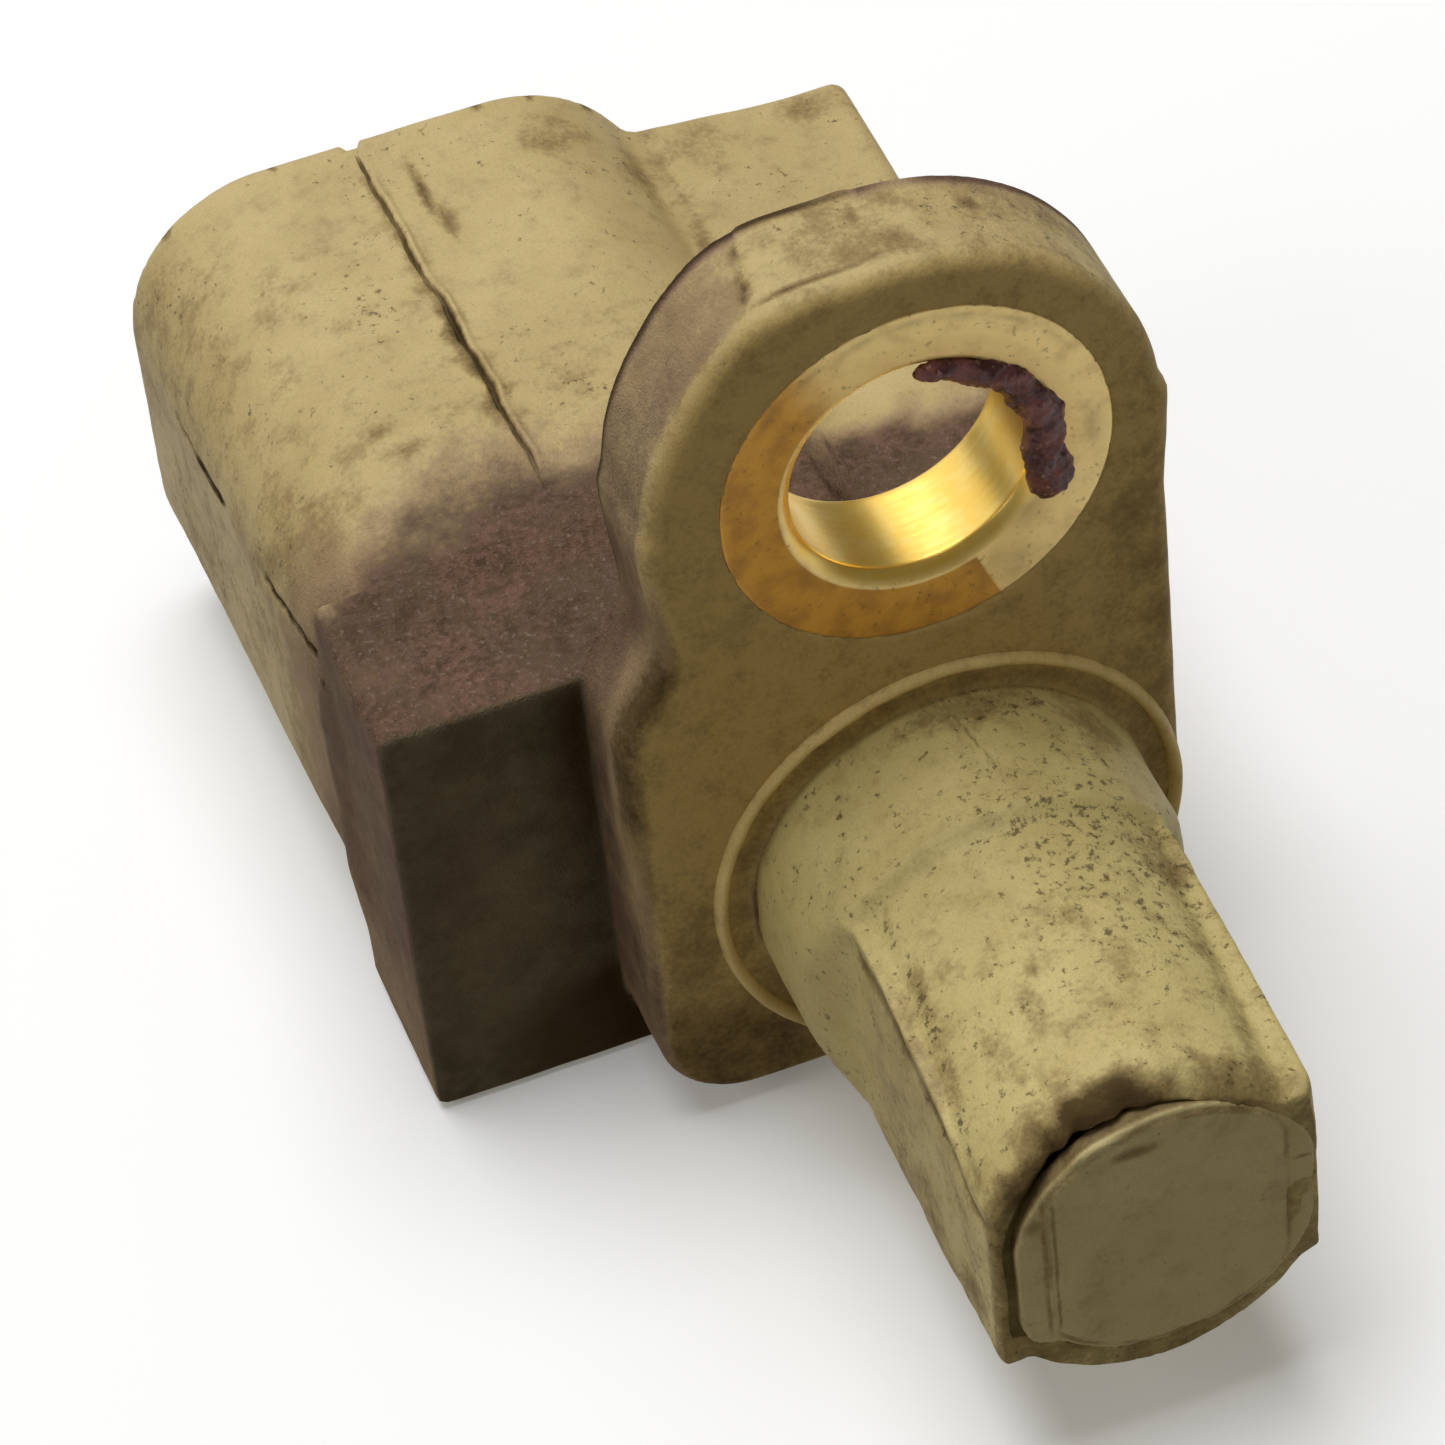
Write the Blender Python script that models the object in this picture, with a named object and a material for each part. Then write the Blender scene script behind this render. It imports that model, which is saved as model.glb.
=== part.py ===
"""Plug-in wheel-speed sensor: one overmoulded housing with a bolt ear, a probe and a
two-pole connector shroud, a brass bush in the ear, and the insert that the probe holds.

All sizes are millimetres. The design frame has its origin at the front end of the bush
axis: X to the right, Y away from the probe tip, Z up. place() moves a design point into
the part's frame, whose origin is the middle of the bounding box's underside, in metres.
"""
import math

import bmesh
import bpy
from mathutils import Vector

MM = 0.001
GAP = 0.3                   # clearance between two pieces that touch

# Bush in the ear, with its axis along Y through the design origin
BUSH_R = 5.0
BORE_R = 3.12
BORE_MOUTH_R = 3.28
BUSH_EDGE = 0.15
BUSH_LENGTH = 3.35

# Flange: ear round the bush, body plate below it
EAR_R = 6.37
SHOULDER = 0.7              # how far the ear's left shoulder stands outside its arc
FLANGE_T = 3.3
FLANGE_LEFT = -8.0
FLANGE_BEVEL = 0.55
WAIST = ((-6.46, -2.4), (-6.95, -3.7), (-7.6, -5.3), (-7.92, -6.3))
PLATE_CORNER_R = 2.4

# Probe
PROBE_Z = -12.63
BASE_R = 5.25
BASE_LENGTH = 4.3
CRUSH_RING = (5.9, 6.25)    # inner and outer radius of the ring round the probe's base
CRUSH_HEIGHT = 0.3
BODY_R = 5.0
TIP_R = 4.6
FLAT_HALF = 4.2
PROBE_END = -12.74          # where the overmould stops
TIP_FACE = -13.64           # end face of the insert
PAD_FACE = -13.8            # raised pad on the end face

# Connector: front block, shroud and side block
BOTTOM = -19.3
BLOCK = dict(left=-13.3, right=6.4, front=3.0, back=8.3, top=-6.05)
SHROUD = dict(left=-13.6, right=1.0, front=7.8, back=24.5, top=-5.65, corner=4.2)
SIDE = dict(left=-2.0, right=6.8, front=3.1, back=24.0, top=-8.2, bottom=-17.0)
SIDE_EDGE = 0.5
WALL = 1.4
SOCKET_FLOOR = 12.0
POCKET = dict(left=2.2, right=5.6, floor=12.5, top=-9.6, bottom=-15.6)
KEY_RIB = dict(depth=0.8, height=2.0, end=23.0)

# Insert carrier: a tray of circular section with two flats, open at the top
CARRIER_R = 3.7
CARRIER_HALF = 3.0
CARRIER_TOP = 2.9
CARRIER_BACK = 3.0
CAP_R = 4.5
CAP_HALF = 3.9
CAP_BACK = -13.04
PAD_R = 4.25
PAD_HALF = 3.1

# Electronics in the tray: half width, y range, z range about the probe's axis
CHIP = dict(half=2.1, front=-12.2, back=-11.0, low=-2.0, high=2.0)
MAGNET = dict(half=1.9, front=-10.1, back=-7.6, low=-1.9, high=1.7)
CAPACITOR = dict(half=2.1, front=-6.6, back=-2.2, low=-1.9, high=-0.4)
LEAD_X = 1.27
LEAD_W = 0.5
LEAD_T = 0.3
LEAD_TOP = 2.8
LEAD_BACK = 1.0

# Terminals: flat strips that step across from the probe to the connector
TERMINAL_W = 1.5
TERMINAL_T = 0.8
TERMINAL_FRONT = -0.8
TERMINAL_TIP = 20.0
BLADE_X = (-8.8, -3.8)
BLADE_POINT = 0.9
TERMINAL_Z = (SHROUD["top"] + BOTTOM) / 2
STEP_Y = ((5.0, 7.3), (6.6, 9.2))
COMB = dict(left=-10.7, right=-1.9, front=9.9, back=11.9, half=1.7)

FRAME = Vector(((SHROUD["left"] + SIDE["right"]) / 2, (PAD_FACE + SHROUD["back"]) / 2, BOTTOM))


def place(x, y, z):
    """A design point in the part's frame, in metres."""
    return (Vector((x, y, z)) - FRAME) * MM


def material(name, colour, roughness, metallic=0.0):
    """A plain Principled material."""
    made = bpy.data.materials.new(name)
    made.use_nodes = True
    shader = made.node_tree.nodes["Principled BSDF"]
    shader.inputs["Base Color"].default_value = (*colour, 1.0)
    shader.inputs["Roughness"].default_value = roughness
    shader.inputs["Metallic"].default_value = metallic
    return made


def arc(cx, cz, radius, start, end, steps):
    """Points (x, z) on an arc, angles in degrees, both ends included."""
    angles = [math.radians(start + (end - start) * i / steps) for i in range(steps + 1)]
    return [(cx + radius * math.cos(a), cz + radius * math.sin(a)) for a in angles]


def circle(cx, cz, radius, steps=64):
    return arc(cx, cz, radius, 0, 360, steps)[:-1]


def rectangle(left, right, bottom, top):
    return [(right, bottom), (right, top), (left, top), (left, bottom)]


def rounded(left, right, bottom, top, corner, steps=8):
    """Rectangle outline with round corners."""
    corners = ((right - corner, top - corner, 0), (left + corner, top - corner, 90),
               (left + corner, bottom + corner, 180), (right - corner, bottom + corner, 270))
    return [p for cx, cz, a in corners for p in arc(cx, cz, corner, a, a + 90, steps)]


def flatted(radius, half, cz=PROBE_Z, steps=20):
    """Circle outline about the probe's axis, cut by a flat on its left and right."""
    open_angle = math.degrees(math.acos(half / radius))
    top = arc(0, cz, radius, open_angle, 180 - open_angle, steps)
    return top + arc(0, cz, radius, 180 + open_angle, 360 - open_angle, steps)


def flange_outline():
    """Ear, waist and body plate in one closed outline."""
    points = []
    for step in range(0, 37):
        angle = step * 5
        bulge = math.sin(math.pi * (angle - 95) / 85) ** 2 if angle > 95 else 0.0
        points += arc(0, 0, EAR_R + SHOULDER * bulge, angle, angle, 1)[:1]
    points += WAIST
    points.append((FLANGE_LEFT, -7.4))
    corner_x, corner_z = FLANGE_LEFT + PLATE_CORNER_R, PROBE_Z - EAR_R + PLATE_CORNER_R
    points += arc(corner_x, corner_z, PLATE_CORNER_R, 180, 270, 8)
    points += arc(0, PROBE_Z, EAR_R, 270, 360, 18)
    return points


def add_object(name, mesh, finish):
    made = bpy.data.objects.new(name, mesh)
    bpy.context.scene.collection.objects.link(made)
    if finish:
        mesh.materials.append(finish)
    return made


def skin(name, loops, finish=None, ring=False, smooth=False):
    """Closed solid through a row of equal loops of 3-D points.

    The ends are filled with caps, or with ring=True the last loop joins the first.
    """
    bm = bmesh.new()
    rows = [[bm.verts.new(place(*p)) for p in loop] for loop in loops]
    pairs = list(zip(rows, rows[1:]))
    if ring:
        pairs.append((rows[-1], rows[0]))
    else:
        bm.faces.new(rows[0])
        bm.faces.new(rows[-1])
    for one, other in pairs:
        for i in range(len(one)):
            j = (i + 1) % len(one)
            bm.faces.new((one[i], one[j], other[j], other[i]))
    bmesh.ops.recalc_face_normals(bm, faces=bm.faces)
    mesh = bpy.data.meshes.new(name)
    bm.to_mesh(mesh)
    bm.free()
    if smooth:
        mesh.shade_smooth()
        mesh.set_sharp_from_angle(angle=math.radians(30))
    return add_object(name, mesh, finish)


def along_y(outline, y):
    return [(x, y, z) for x, z in outline]


def prism(name, outline, front, back, finish=None, smooth=False):
    """Outline in XZ, extruded from y = front to y = back."""
    return skin(name, [along_y(outline, front), along_y(outline, back)], finish, smooth=smooth)


def turned(name, cx, cz, profile, finish=None, ring=False):
    """Solid of revolution about an axis along Y, from (radius, y) points."""
    loops = [along_y(circle(cx, cz, radius), y) for radius, y in profile]
    return skin(name, loops, finish, ring, smooth=True)


def tool(shape):
    """Marks an object as a construction shape that isn't a piece of the part."""
    shape.hide_render = True
    shape.display_type = "WIRE"
    return shape


def combine(target, operation, shape):
    change = target.modifiers.new(shape.name, "BOOLEAN")
    change.operation = operation
    change.solver = "EXACT"
    change.object = tool(shape)


def bevel(target, width, segments=2):
    change = target.modifiers.new("edges", "BEVEL")
    change.width = width * MM
    change.segments = segments
    change.limit_method = "ANGLE"
    change.angle_limit = math.radians(40)


def mitred(path, half):
    """Outline of a strip of even width along a path of (x, y) points."""
    sides = ([], [])
    for i, point in enumerate(path):
        here = Vector(point)
        before = (here - Vector(path[max(i - 1, 0)])).normalized()
        after = (Vector(path[min(i + 1, len(path) - 1)]) - here).normalized()
        before, after = before if i else after, after if i < len(path) - 1 else before
        across = Vector((-(before + after).y, (before + after).x)).normalized()
        reach = half / across.dot(Vector((-before.y, before.x)))
        sides[0].append(here + across * reach)
        sides[1].append(here - across * reach)
    return sides[0] + sides[1][::-1]


def terminal_path(side, front, tip):
    """Centre line of a terminal: 0 is the left blade, 1 the right one."""
    lead_x = (-LEAD_X, LEAD_X)[side]
    step_start, step_end = STEP_Y[side]
    blade_x = BLADE_X[side]
    return [(lead_x, front), (lead_x, step_start), (blade_x, step_end), (blade_x, tip)]


def strip(name, path, half, low, high, finish=None):
    """Flat strip between two heights."""
    outline = mitred(path, half)
    return skin(name, [[(x, y, z) for x, y in outline] for z in (low, high)], finish)


def probe():
    """Probe overmould: round base, a small step, then a tapering body with two flats."""
    round_base = 0.9995     # the base is all but round: its flats are a hair wide
    sections = ((1.0, BASE_R, BASE_R * round_base),
                (0.3 - BASE_LENGTH, BASE_R - 0.1, (BASE_R - 0.1) * round_base),
                (-BASE_LENGTH, BODY_R, BODY_R * round_base), (-BASE_LENGTH - 0.7, BODY_R, FLAT_HALF),
                (PROBE_END + 0.3, TIP_R + 0.04, FLAT_HALF - 0.05),
                (PROBE_END, TIP_R - 0.1, FLAT_HALF - 0.25))
    return skin("probe", [along_y(flatted(r, half), y) for y, r, half in sections])


def shroud_shell():
    """Outside of the connector shroud, with a soft edge at its rim."""
    edge = 0.25
    size = (SHROUD["left"], SHROUD["right"], BOTTOM, SHROUD["top"], SHROUD["corner"])
    rim = (size[0] + edge, size[1] - edge, BOTTOM + edge, size[3] - edge, size[4] - edge)
    front = (BLOCK["left"], *size[1:])
    loops = [along_y(rounded(*front), SHROUD["front"]),
             along_y(rounded(*size), SHROUD["back"] - edge),
             along_y(rounded(*rim), SHROUD["back"])]
    return skin("shroud_shell", loops)


def build_housing(finish):
    """Housing: flange, crush ring, probe, front block, shroud and side block as one body."""
    housing = prism("sensor_housing", flange_outline(), 0.0, FLANGE_T, finish)
    bevel(housing, FLANGE_BEVEL)
    inner, outer = CRUSH_RING
    ring = [(inner, 0.9), (inner + 0.05, -CRUSH_HEIGHT), (outer - 0.1, -CRUSH_HEIGHT), (outer, 0.9)]
    left_block = rectangle(BLOCK["left"], BLOCK["right"] - 5.5, BOTTOM, BLOCK["top"])
    side = prism("side_block", rectangle(SIDE["left"], SIDE["right"], SIDE["bottom"], SIDE["top"]),
                 SIDE["front"], SIDE["back"])
    bevel(side, SIDE_EDGE)
    for shape in (turned("crush_ring", 0, PROBE_Z, ring, ring=True),
                  probe(),
                  prism("front_block", left_block, BLOCK["front"], BLOCK["back"]),
                  shroud_shell(), side):
        combine(housing, "UNION", shape)
    cut_housing(housing)


def cut_housing(housing):
    """Hollows of the housing: bush seat, insert bore, terminal slots, socket and side pocket."""
    socket = rounded(SHROUD["left"] + WALL, SHROUD["right"] - WALL, BOTTOM + WALL,
                     SHROUD["top"] - WALL, SHROUD["corner"] - WALL, steps=5)
    pocket = rounded(POCKET["left"], POCKET["right"], POCKET["bottom"], POCKET["top"], 0.6, steps=3)
    comb_hole = rectangle(COMB["left"] - GAP, COMB["right"] + GAP,
                          TERMINAL_Z - COMB["half"] - GAP, TERMINAL_Z + COMB["half"] + GAP)
    beyond = SHROUD["back"] + 2
    socket_cut = prism("socket_cut", socket, SOCKET_FLOOR, beyond)
    rib = rectangle(SHROUD["right"] - WALL - KEY_RIB["depth"], SHROUD["right"],
                    TERMINAL_Z - KEY_RIB["height"] / 2, TERMINAL_Z + KEY_RIB["height"] / 2)
    combine(socket_cut, "DIFFERENCE", prism("key_rib", rib, SOCKET_FLOOR - 1, KEY_RIB["end"]))
    cuts = [turned("bush_seat", 0, 0, [(BUSH_R + GAP, -1), (BUSH_R + GAP, FLANGE_T + 1)]),
            prism("insert_bore", flatted(CARRIER_R + GAP, CARRIER_HALF + GAP), PROBE_END - 1,
                  CARRIER_BACK + GAP),
            prism("comb_hole", comb_hole, COMB["front"] - GAP, SOCKET_FLOOR + 0.5),
            prism("side_pocket", pocket, POCKET["floor"], beyond)]
    cuts += [strip("terminal_slot_%d" % side, terminal_path(side, CARRIER_BACK - 1, COMB["front"]),
                   TERMINAL_W / 2 + GAP, TERMINAL_Z - TERMINAL_T / 2 - GAP,
                   TERMINAL_Z + TERMINAL_T / 2 + GAP) for side in (0, 1)]
    for shape in cuts + [socket_cut]:
        combine(housing, "DIFFERENCE", shape)


def build_bush(finish):
    """Compression bush: a plain sleeve with broken edges at both ends."""
    end = BUSH_LENGTH
    profile = [(BORE_MOUTH_R, 0), (BUSH_R - BUSH_EDGE, 0), (BUSH_R, BUSH_EDGE),
               (BUSH_R, end - BUSH_EDGE), (BUSH_R - BUSH_EDGE, end), (BORE_MOUTH_R, end),
               (BORE_R, end - BUSH_EDGE), (BORE_R, BUSH_EDGE)]
    turned("compression_bush", 0, 0, profile, finish, ring=True)


def build_carrier(finish):
    """Insert carrier: end cap with a raised pad, and a tray with a pocket for each component."""
    loops = [along_y(flatted(CARRIER_R, CARRIER_HALF), y) for y in (CAP_BACK - 0.2, CARRIER_BACK)]
    carrier = skin("insert_carrier", loops, finish)
    cap_loops = [along_y(flatted(CAP_R - 0.15, CAP_HALF - 0.15), TIP_FACE),
                 along_y(flatted(CAP_R, CAP_HALF), TIP_FACE + 0.15),
                 along_y(flatted(CAP_R, CAP_HALF), CAP_BACK)]
    combine(carrier, "UNION", skin("end_cap", cap_loops))
    combine(carrier, "UNION", prism("end_pad", flatted(PAD_R, PAD_HALF), PAD_FACE, TIP_FACE + 0.3))
    top = PROBE_Z + CARRIER_R + 1
    tray_top = rectangle(-5, 5, PROBE_Z + CARRIER_TOP, top)
    combine(carrier, "DIFFERENCE", prism("tray_top", tray_top, CAP_BACK + 0.4, CARRIER_BACK + 1))
    for name, piece in (("chip", CHIP), ("magnet", MAGNET), ("capacitor", CAPACITOR)):
        hole = rectangle(-piece["half"] - GAP, piece["half"] + GAP, PROBE_Z + piece["low"] - GAP, top)
        combine(carrier, "DIFFERENCE",
                prism(name + "_pocket", hole, piece["front"] - GAP, piece["back"] + GAP))
    for side, centre in enumerate((-LEAD_X, LEAD_X)):
        half = TERMINAL_W / 2 + GAP
        slot = rectangle(centre - half, centre + half, TERMINAL_Z - TERMINAL_T / 2 - GAP, top)
        combine(carrier, "DIFFERENCE",
                prism("tab_slot_%d" % side, slot, TERMINAL_FRONT - GAP, CARRIER_BACK + 1))
        groove_half = LEAD_W / 2 + GAP
        groove = rectangle(centre - groove_half, centre + groove_half,
                           PROBE_Z + LEAD_TOP - LEAD_T - GAP, top)
        combine(carrier, "DIFFERENCE",
                prism("lead_groove_%d" % side, groove, CHIP["front"] + 0.2, TERMINAL_FRONT))


def build_electronics(chip_finish, magnet_finish, capacitor_finish):
    """Sensing chip behind the end cap, magnet behind the chip, capacitor behind the magnet."""
    for name, piece, finish in (("sensing_chip", CHIP, chip_finish),
                                ("bias_magnet", MAGNET, magnet_finish),
                                ("filter_capacitor", CAPACITOR, capacitor_finish)):
        outline = rectangle(-piece["half"], piece["half"], PROBE_Z + piece["low"],
                            PROBE_Z + piece["high"])
        made = prism(name, outline, piece["front"], piece["back"], finish)
        bevel(made, 0.12, segments=1)


def build_leads(finish):
    """Chip leads: up from the chip, back over the tray, down to the terminal tabs."""
    top, low = PROBE_Z + LEAD_TOP, PROBE_Z + LEAD_TOP - LEAD_T
    front, back = (CHIP["front"] + CHIP["back"]) / 2, LEAD_BACK
    chip_top = PROBE_Z + CHIP["high"] + GAP
    tab_top = TERMINAL_Z + TERMINAL_T / 2 + GAP
    side_view = [(front - LEAD_T / 2, top), (back, top), (back, tab_top), (back - LEAD_T, tab_top),
                 (back - LEAD_T, low), (front + LEAD_T / 2, low), (front + LEAD_T / 2, chip_top),
                 (front - LEAD_T / 2, chip_top)]
    for name, centre in (("chip_lead_supply", -LEAD_X), ("chip_lead_signal", LEAD_X)):
        loops = [[(centre + offset, y, z) for y, z in side_view] for offset in (-LEAD_W / 2, LEAD_W / 2)]
        skin(name, loops, finish)


def build_terminals(finish):
    """Terminals: tab under the chip lead, step to the left, blade with a pointed end."""
    low, high = TERMINAL_Z - TERMINAL_T / 2, TERMINAL_Z + TERMINAL_T / 2
    for side, name in enumerate(("terminal_supply", "terminal_signal")):
        path = terminal_path(side, TERMINAL_FRONT, TERMINAL_TIP - BLADE_POINT)
        made = strip(name, path, TERMINAL_W / 2, low, high, finish)
        x, half, thin = BLADE_X[side], TERMINAL_W / 2, TERMINAL_T / 2
        point = [along_y(rectangle(x - half, x + half, TERMINAL_Z - thin, TERMINAL_Z + thin),
                         TERMINAL_TIP - BLADE_POINT - 0.5),
                 along_y(rectangle(x - half, x + half, TERMINAL_Z - thin, TERMINAL_Z + thin),
                         TERMINAL_TIP - BLADE_POINT),
                 along_y(rectangle(x - half / 2, x + half / 2, TERMINAL_Z - thin / 3,
                                   TERMINAL_Z + thin / 3), TERMINAL_TIP)]
        combine(made, "UNION", skin(name + "_point", point))


def build_comb(finish):
    """Terminal comb: the bar in the socket's floor that holds both blades at their pitch."""
    outline = rectangle(COMB["left"], COMB["right"], TERMINAL_Z - COMB["half"],
                        TERMINAL_Z + COMB["half"])
    comb = prism("terminal_comb", outline, COMB["front"], COMB["back"], finish)
    for side, x in enumerate(BLADE_X):
        half = TERMINAL_W / 2 + GAP
        slot = rectangle(x - half, x + half, TERMINAL_Z - TERMINAL_T / 2 - GAP,
                         TERMINAL_Z + TERMINAL_T / 2 + GAP)
        combine(comb, "DIFFERENCE",
                prism("blade_slot_%d" % side, slot, COMB["front"] - 1, COMB["back"] + 1))


def main():
    for old in list(bpy.data.objects):
        bpy.data.objects.remove(old, do_unlink=True)
    build_housing(material("housing_plastic", (0.55, 0.46, 0.23), 0.6))
    build_bush(material("bush_brass", (0.75, 0.5, 0.12), 0.35, 1.0))
    build_carrier(material("carrier_plastic", (0.46, 0.39, 0.22), 0.65))
    build_electronics(material("chip_package", (0.02, 0.02, 0.022), 0.5),
                      material("magnet_ferrite", (0.09, 0.09, 0.1), 0.6),
                      material("capacitor_body", (0.3, 0.17, 0.06), 0.5))
    build_leads(material("lead_tinned", (0.7, 0.7, 0.68), 0.35, 1.0))
    build_terminals(material("terminal_tinned", (0.74, 0.73, 0.7), 0.3, 1.0))
    build_comb(material("comb_plastic", (0.05, 0.05, 0.05), 0.55))


main()
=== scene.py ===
"""Looks of the wheel speed sensor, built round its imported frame.

Shapes are written in millimetres in the design frame: its origin is the front end of the
bush's axis, X to the right, Y away from the probe's tip, Z up. to_row() moves them into
the row frame, in metres. The moulded pieces are distance fields, turned into meshes.
"""
import math
from functools import reduce

import bpy
import numpy as np
from mathutils import Matrix, Vector
from numpy import clip, cos, hypot, interp, maximum, minimum, sin, where


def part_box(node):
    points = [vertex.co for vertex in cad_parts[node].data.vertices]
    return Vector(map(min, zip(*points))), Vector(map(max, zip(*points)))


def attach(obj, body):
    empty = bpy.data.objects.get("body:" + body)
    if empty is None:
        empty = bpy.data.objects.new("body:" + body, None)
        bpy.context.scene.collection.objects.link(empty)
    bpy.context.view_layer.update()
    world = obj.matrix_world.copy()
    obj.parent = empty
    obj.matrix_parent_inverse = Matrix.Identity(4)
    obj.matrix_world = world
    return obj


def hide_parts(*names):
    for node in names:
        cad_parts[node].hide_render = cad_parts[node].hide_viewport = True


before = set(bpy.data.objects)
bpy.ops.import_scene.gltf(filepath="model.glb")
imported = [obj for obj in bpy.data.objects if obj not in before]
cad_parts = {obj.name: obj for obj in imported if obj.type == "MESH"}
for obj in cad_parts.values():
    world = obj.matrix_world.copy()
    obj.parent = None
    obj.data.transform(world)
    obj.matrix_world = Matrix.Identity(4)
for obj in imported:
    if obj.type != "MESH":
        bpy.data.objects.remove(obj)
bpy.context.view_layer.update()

MM = 0.001

# Read from the frame, in millimetres of the design frame
bush_low, bush_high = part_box("compression_bush")
ORIGIN = Vector(((bush_low.x + bush_high.x) / 2, bush_low.y, (bush_low.z + bush_high.z) / 2))


def node_box(node):
    """Lowest and highest corner of a CAD node in the design frame, in millimetres."""
    low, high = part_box(node)
    return (low - ORIGIN) / MM, (high - ORIGIN) / MM


BUSH_LENGTH = (bush_high.y - bush_low.y) / MM
BUSH_R = (bush_high.x - bush_low.x) / MM / 2
HOUSING_LOW, HOUSING_HIGH = node_box("sensor_housing")
INSERT_LOW, INSERT_HIGH = node_box("insert_carrier")
COMB_LOW, COMB_HIGH = node_box("terminal_comb")
BLADE_LOW, BLADE_HIGH = node_box("terminal_signal")
PROBE_Z = (INSERT_LOW.z + INSERT_HIGH.z) / 2
BOTTOM = HOUSING_LOW.z
LEFT, RIGHT = HOUSING_LOW.x, HOUSING_HIGH.x
BACK = HOUSING_HIGH.y
TIP = INSERT_LOW.y

# Flange
EAR_R = HOUSING_HIGH.z
SHOULDER = 0.7
FLANGE_T = 3.3
FLANGE_LEFT = -8.0
FLANGE_EDGE = 0.5
BORE_R = 3.12

# Probe
BASE_R = 5.25
BASE_LENGTH = 4.3
BODY_R = 5.0
TIP_R = 4.6
FLAT_HALF = 4.13
SKIN_END = -13.45
CAP_R = 3.98
CAP_HALF = 3.82
PAD_R = 3.8
PAD_HALF = 3.05
CAP_FACE = TIP + 0.09
INSERT_R = 3.7
INSERT_HALF = 3.0
SLEEVE_BACK = 0.4
PROBE_LEAN = -0.2
UPPER_LEFT_EDGE = ((3.9, 5.0, 6.5, 8.0, 9.6, 11.1, 12.4), (3.1, 3.35, 3.3, 3.05, 2.85, 2.5, 2.1))

# Connector
BLOCK_LEFT = LEFT + 0.3
BLOCK_FRONT, BLOCK_BACK, BLOCK_TOP = 3.0, 8.3, -6.05
SHROUD_RIGHT, SHROUD_FRONT, SHROUD_TOP, SHROUD_CORNER = 1.0, 7.8, -5.65, 4.2
SIDE_LEFT, SIDE_FRONT, SIDE_BACK, SIDE_TOP, SIDE_BOTTOM = -2.0, 3.1, 24.0, -8.2, -17.0
WALL = 1.4
SOCKET_FLOOR = 12.0
SEAM_X = -6.8

# Room round each piece that the housing holds
GAP = 0.06


def to_row(points):
    """Design millimetres to row metres."""
    return np.asarray(points, float) * MM + np.array(ORIGIN)


# Distance fields

def waves(x, y, z, size, seed, count=7):
    """Smooth repeatable noise of about -1 to 1, with bumps about `size` across."""
    rng = np.random.default_rng(seed)
    total = 0.0
    for _ in range(count):
        direction = rng.normal(size=3)
        direction *= rng.uniform(0.7, 1.6) * 2 * math.pi / size / np.linalg.norm(direction)
        total = total + sin(direction[0] * x + direction[1] * y + direction[2] * z
                            + rng.uniform(0, 2 * math.pi))
    return total / math.sqrt(count * 1.6)


def ramp(value, start, end):
    """0 before start, 1 after end, smooth between."""
    t = clip((value - start) / (end - start), 0, 1)
    return t * t * (3 - 2 * t)


def bell(value, width):
    """1 where a value is 0, falling to 0 at about twice the width."""
    return np.exp(-(value / width) ** 2)


def near(place, centre, size):
    """1 at a centre, falling to 0 at about `size` away along each axis."""
    return np.exp(-1.4 * sum(((v - c) / s) ** 2 for v, c, s in zip(place, centre, size)))


def highest(*layers):
    return reduce(maximum, layers)


def spots(place, rows):
    """The highest of several spots, given as (centre, size, level)."""
    return highest(*(level * near(place, centre, size) for centre, size, level in rows))


def join(a, b, soft):
    """Union of two fields with a fillet."""
    h = maximum(soft - abs(a - b), 0) / soft
    return minimum(a, b) - h * h * soft / 4


def carve(a, b, soft):
    """Field a with b cut away."""
    return -join(-a, b, soft)


def slab(value, low, high):
    """Field of the room between two planes."""
    return abs(value - (low + high) / 2) - (high - low) / 2


def meet(a, b, edge):
    """Overlap of two fields, with a round edge where they meet."""
    a, b = a + edge, b + edge
    return hypot(maximum(a, 0), maximum(b, 0)) + minimum(maximum(a, b), 0) - edge


def rectangle(x, z, left, right, low, high, corner):
    return meet(slab(x, left, right), slab(z, low, high), corner)


def extrude(outline, y, front, back, edge, back_edge=None):
    """Solid of a 2-D field between two planes, with round edges."""
    if back_edge is not None:
        edge = where(y < (front + back) / 2, edge, back_edge)
    return meet(outline, slab(y, front, back), edge)


def flatted(x, z, radius, half, soft=0.15):
    """Circle about the probe's axis with a flat on each side."""
    return -join(radius - hypot(x, z - PROBE_Z), half - abs(x), soft)


def flange_outline(x, z):
    angle = np.degrees(np.arctan2(z, x))
    angle = where(angle < -90, angle + 360, angle)
    bulge = SHOULDER * (0.6 * ramp(angle, 95, 125) + 0.31 * bell(angle - 122, 18))
    ear = hypot(x, z) - EAR_R - bulge
    neck = rectangle(x, z, -6.72, EAR_R, -9, 0, 0.1)
    plate = rectangle(x, z, FLANGE_LEFT, 1, PROBE_Z - EAR_R, -4.2, 2.4)
    heel = hypot(x, z - PROBE_Z) - EAR_R
    side = rectangle(x, z, -2, EAR_R, PROBE_Z, 0, 0.1)
    return minimum(join(join(ear, neck, 0.8), plate, 1.2), minimum(heel, side))


def rim_patch(x, y, z):
    """1 on the rubbed patch of the ear's rim, left of the mould line."""
    left, front = -3.25 + 0.25 * (y - 1.8), 0.85 + 0.05 * x
    inside = ramp(x, left - 0.1, left + 0.1) * ramp(x, 0.05, -0.1) * ramp(y, front - 0.1, front + 0.1)
    return inside * ramp(z, 2, 4)


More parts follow.
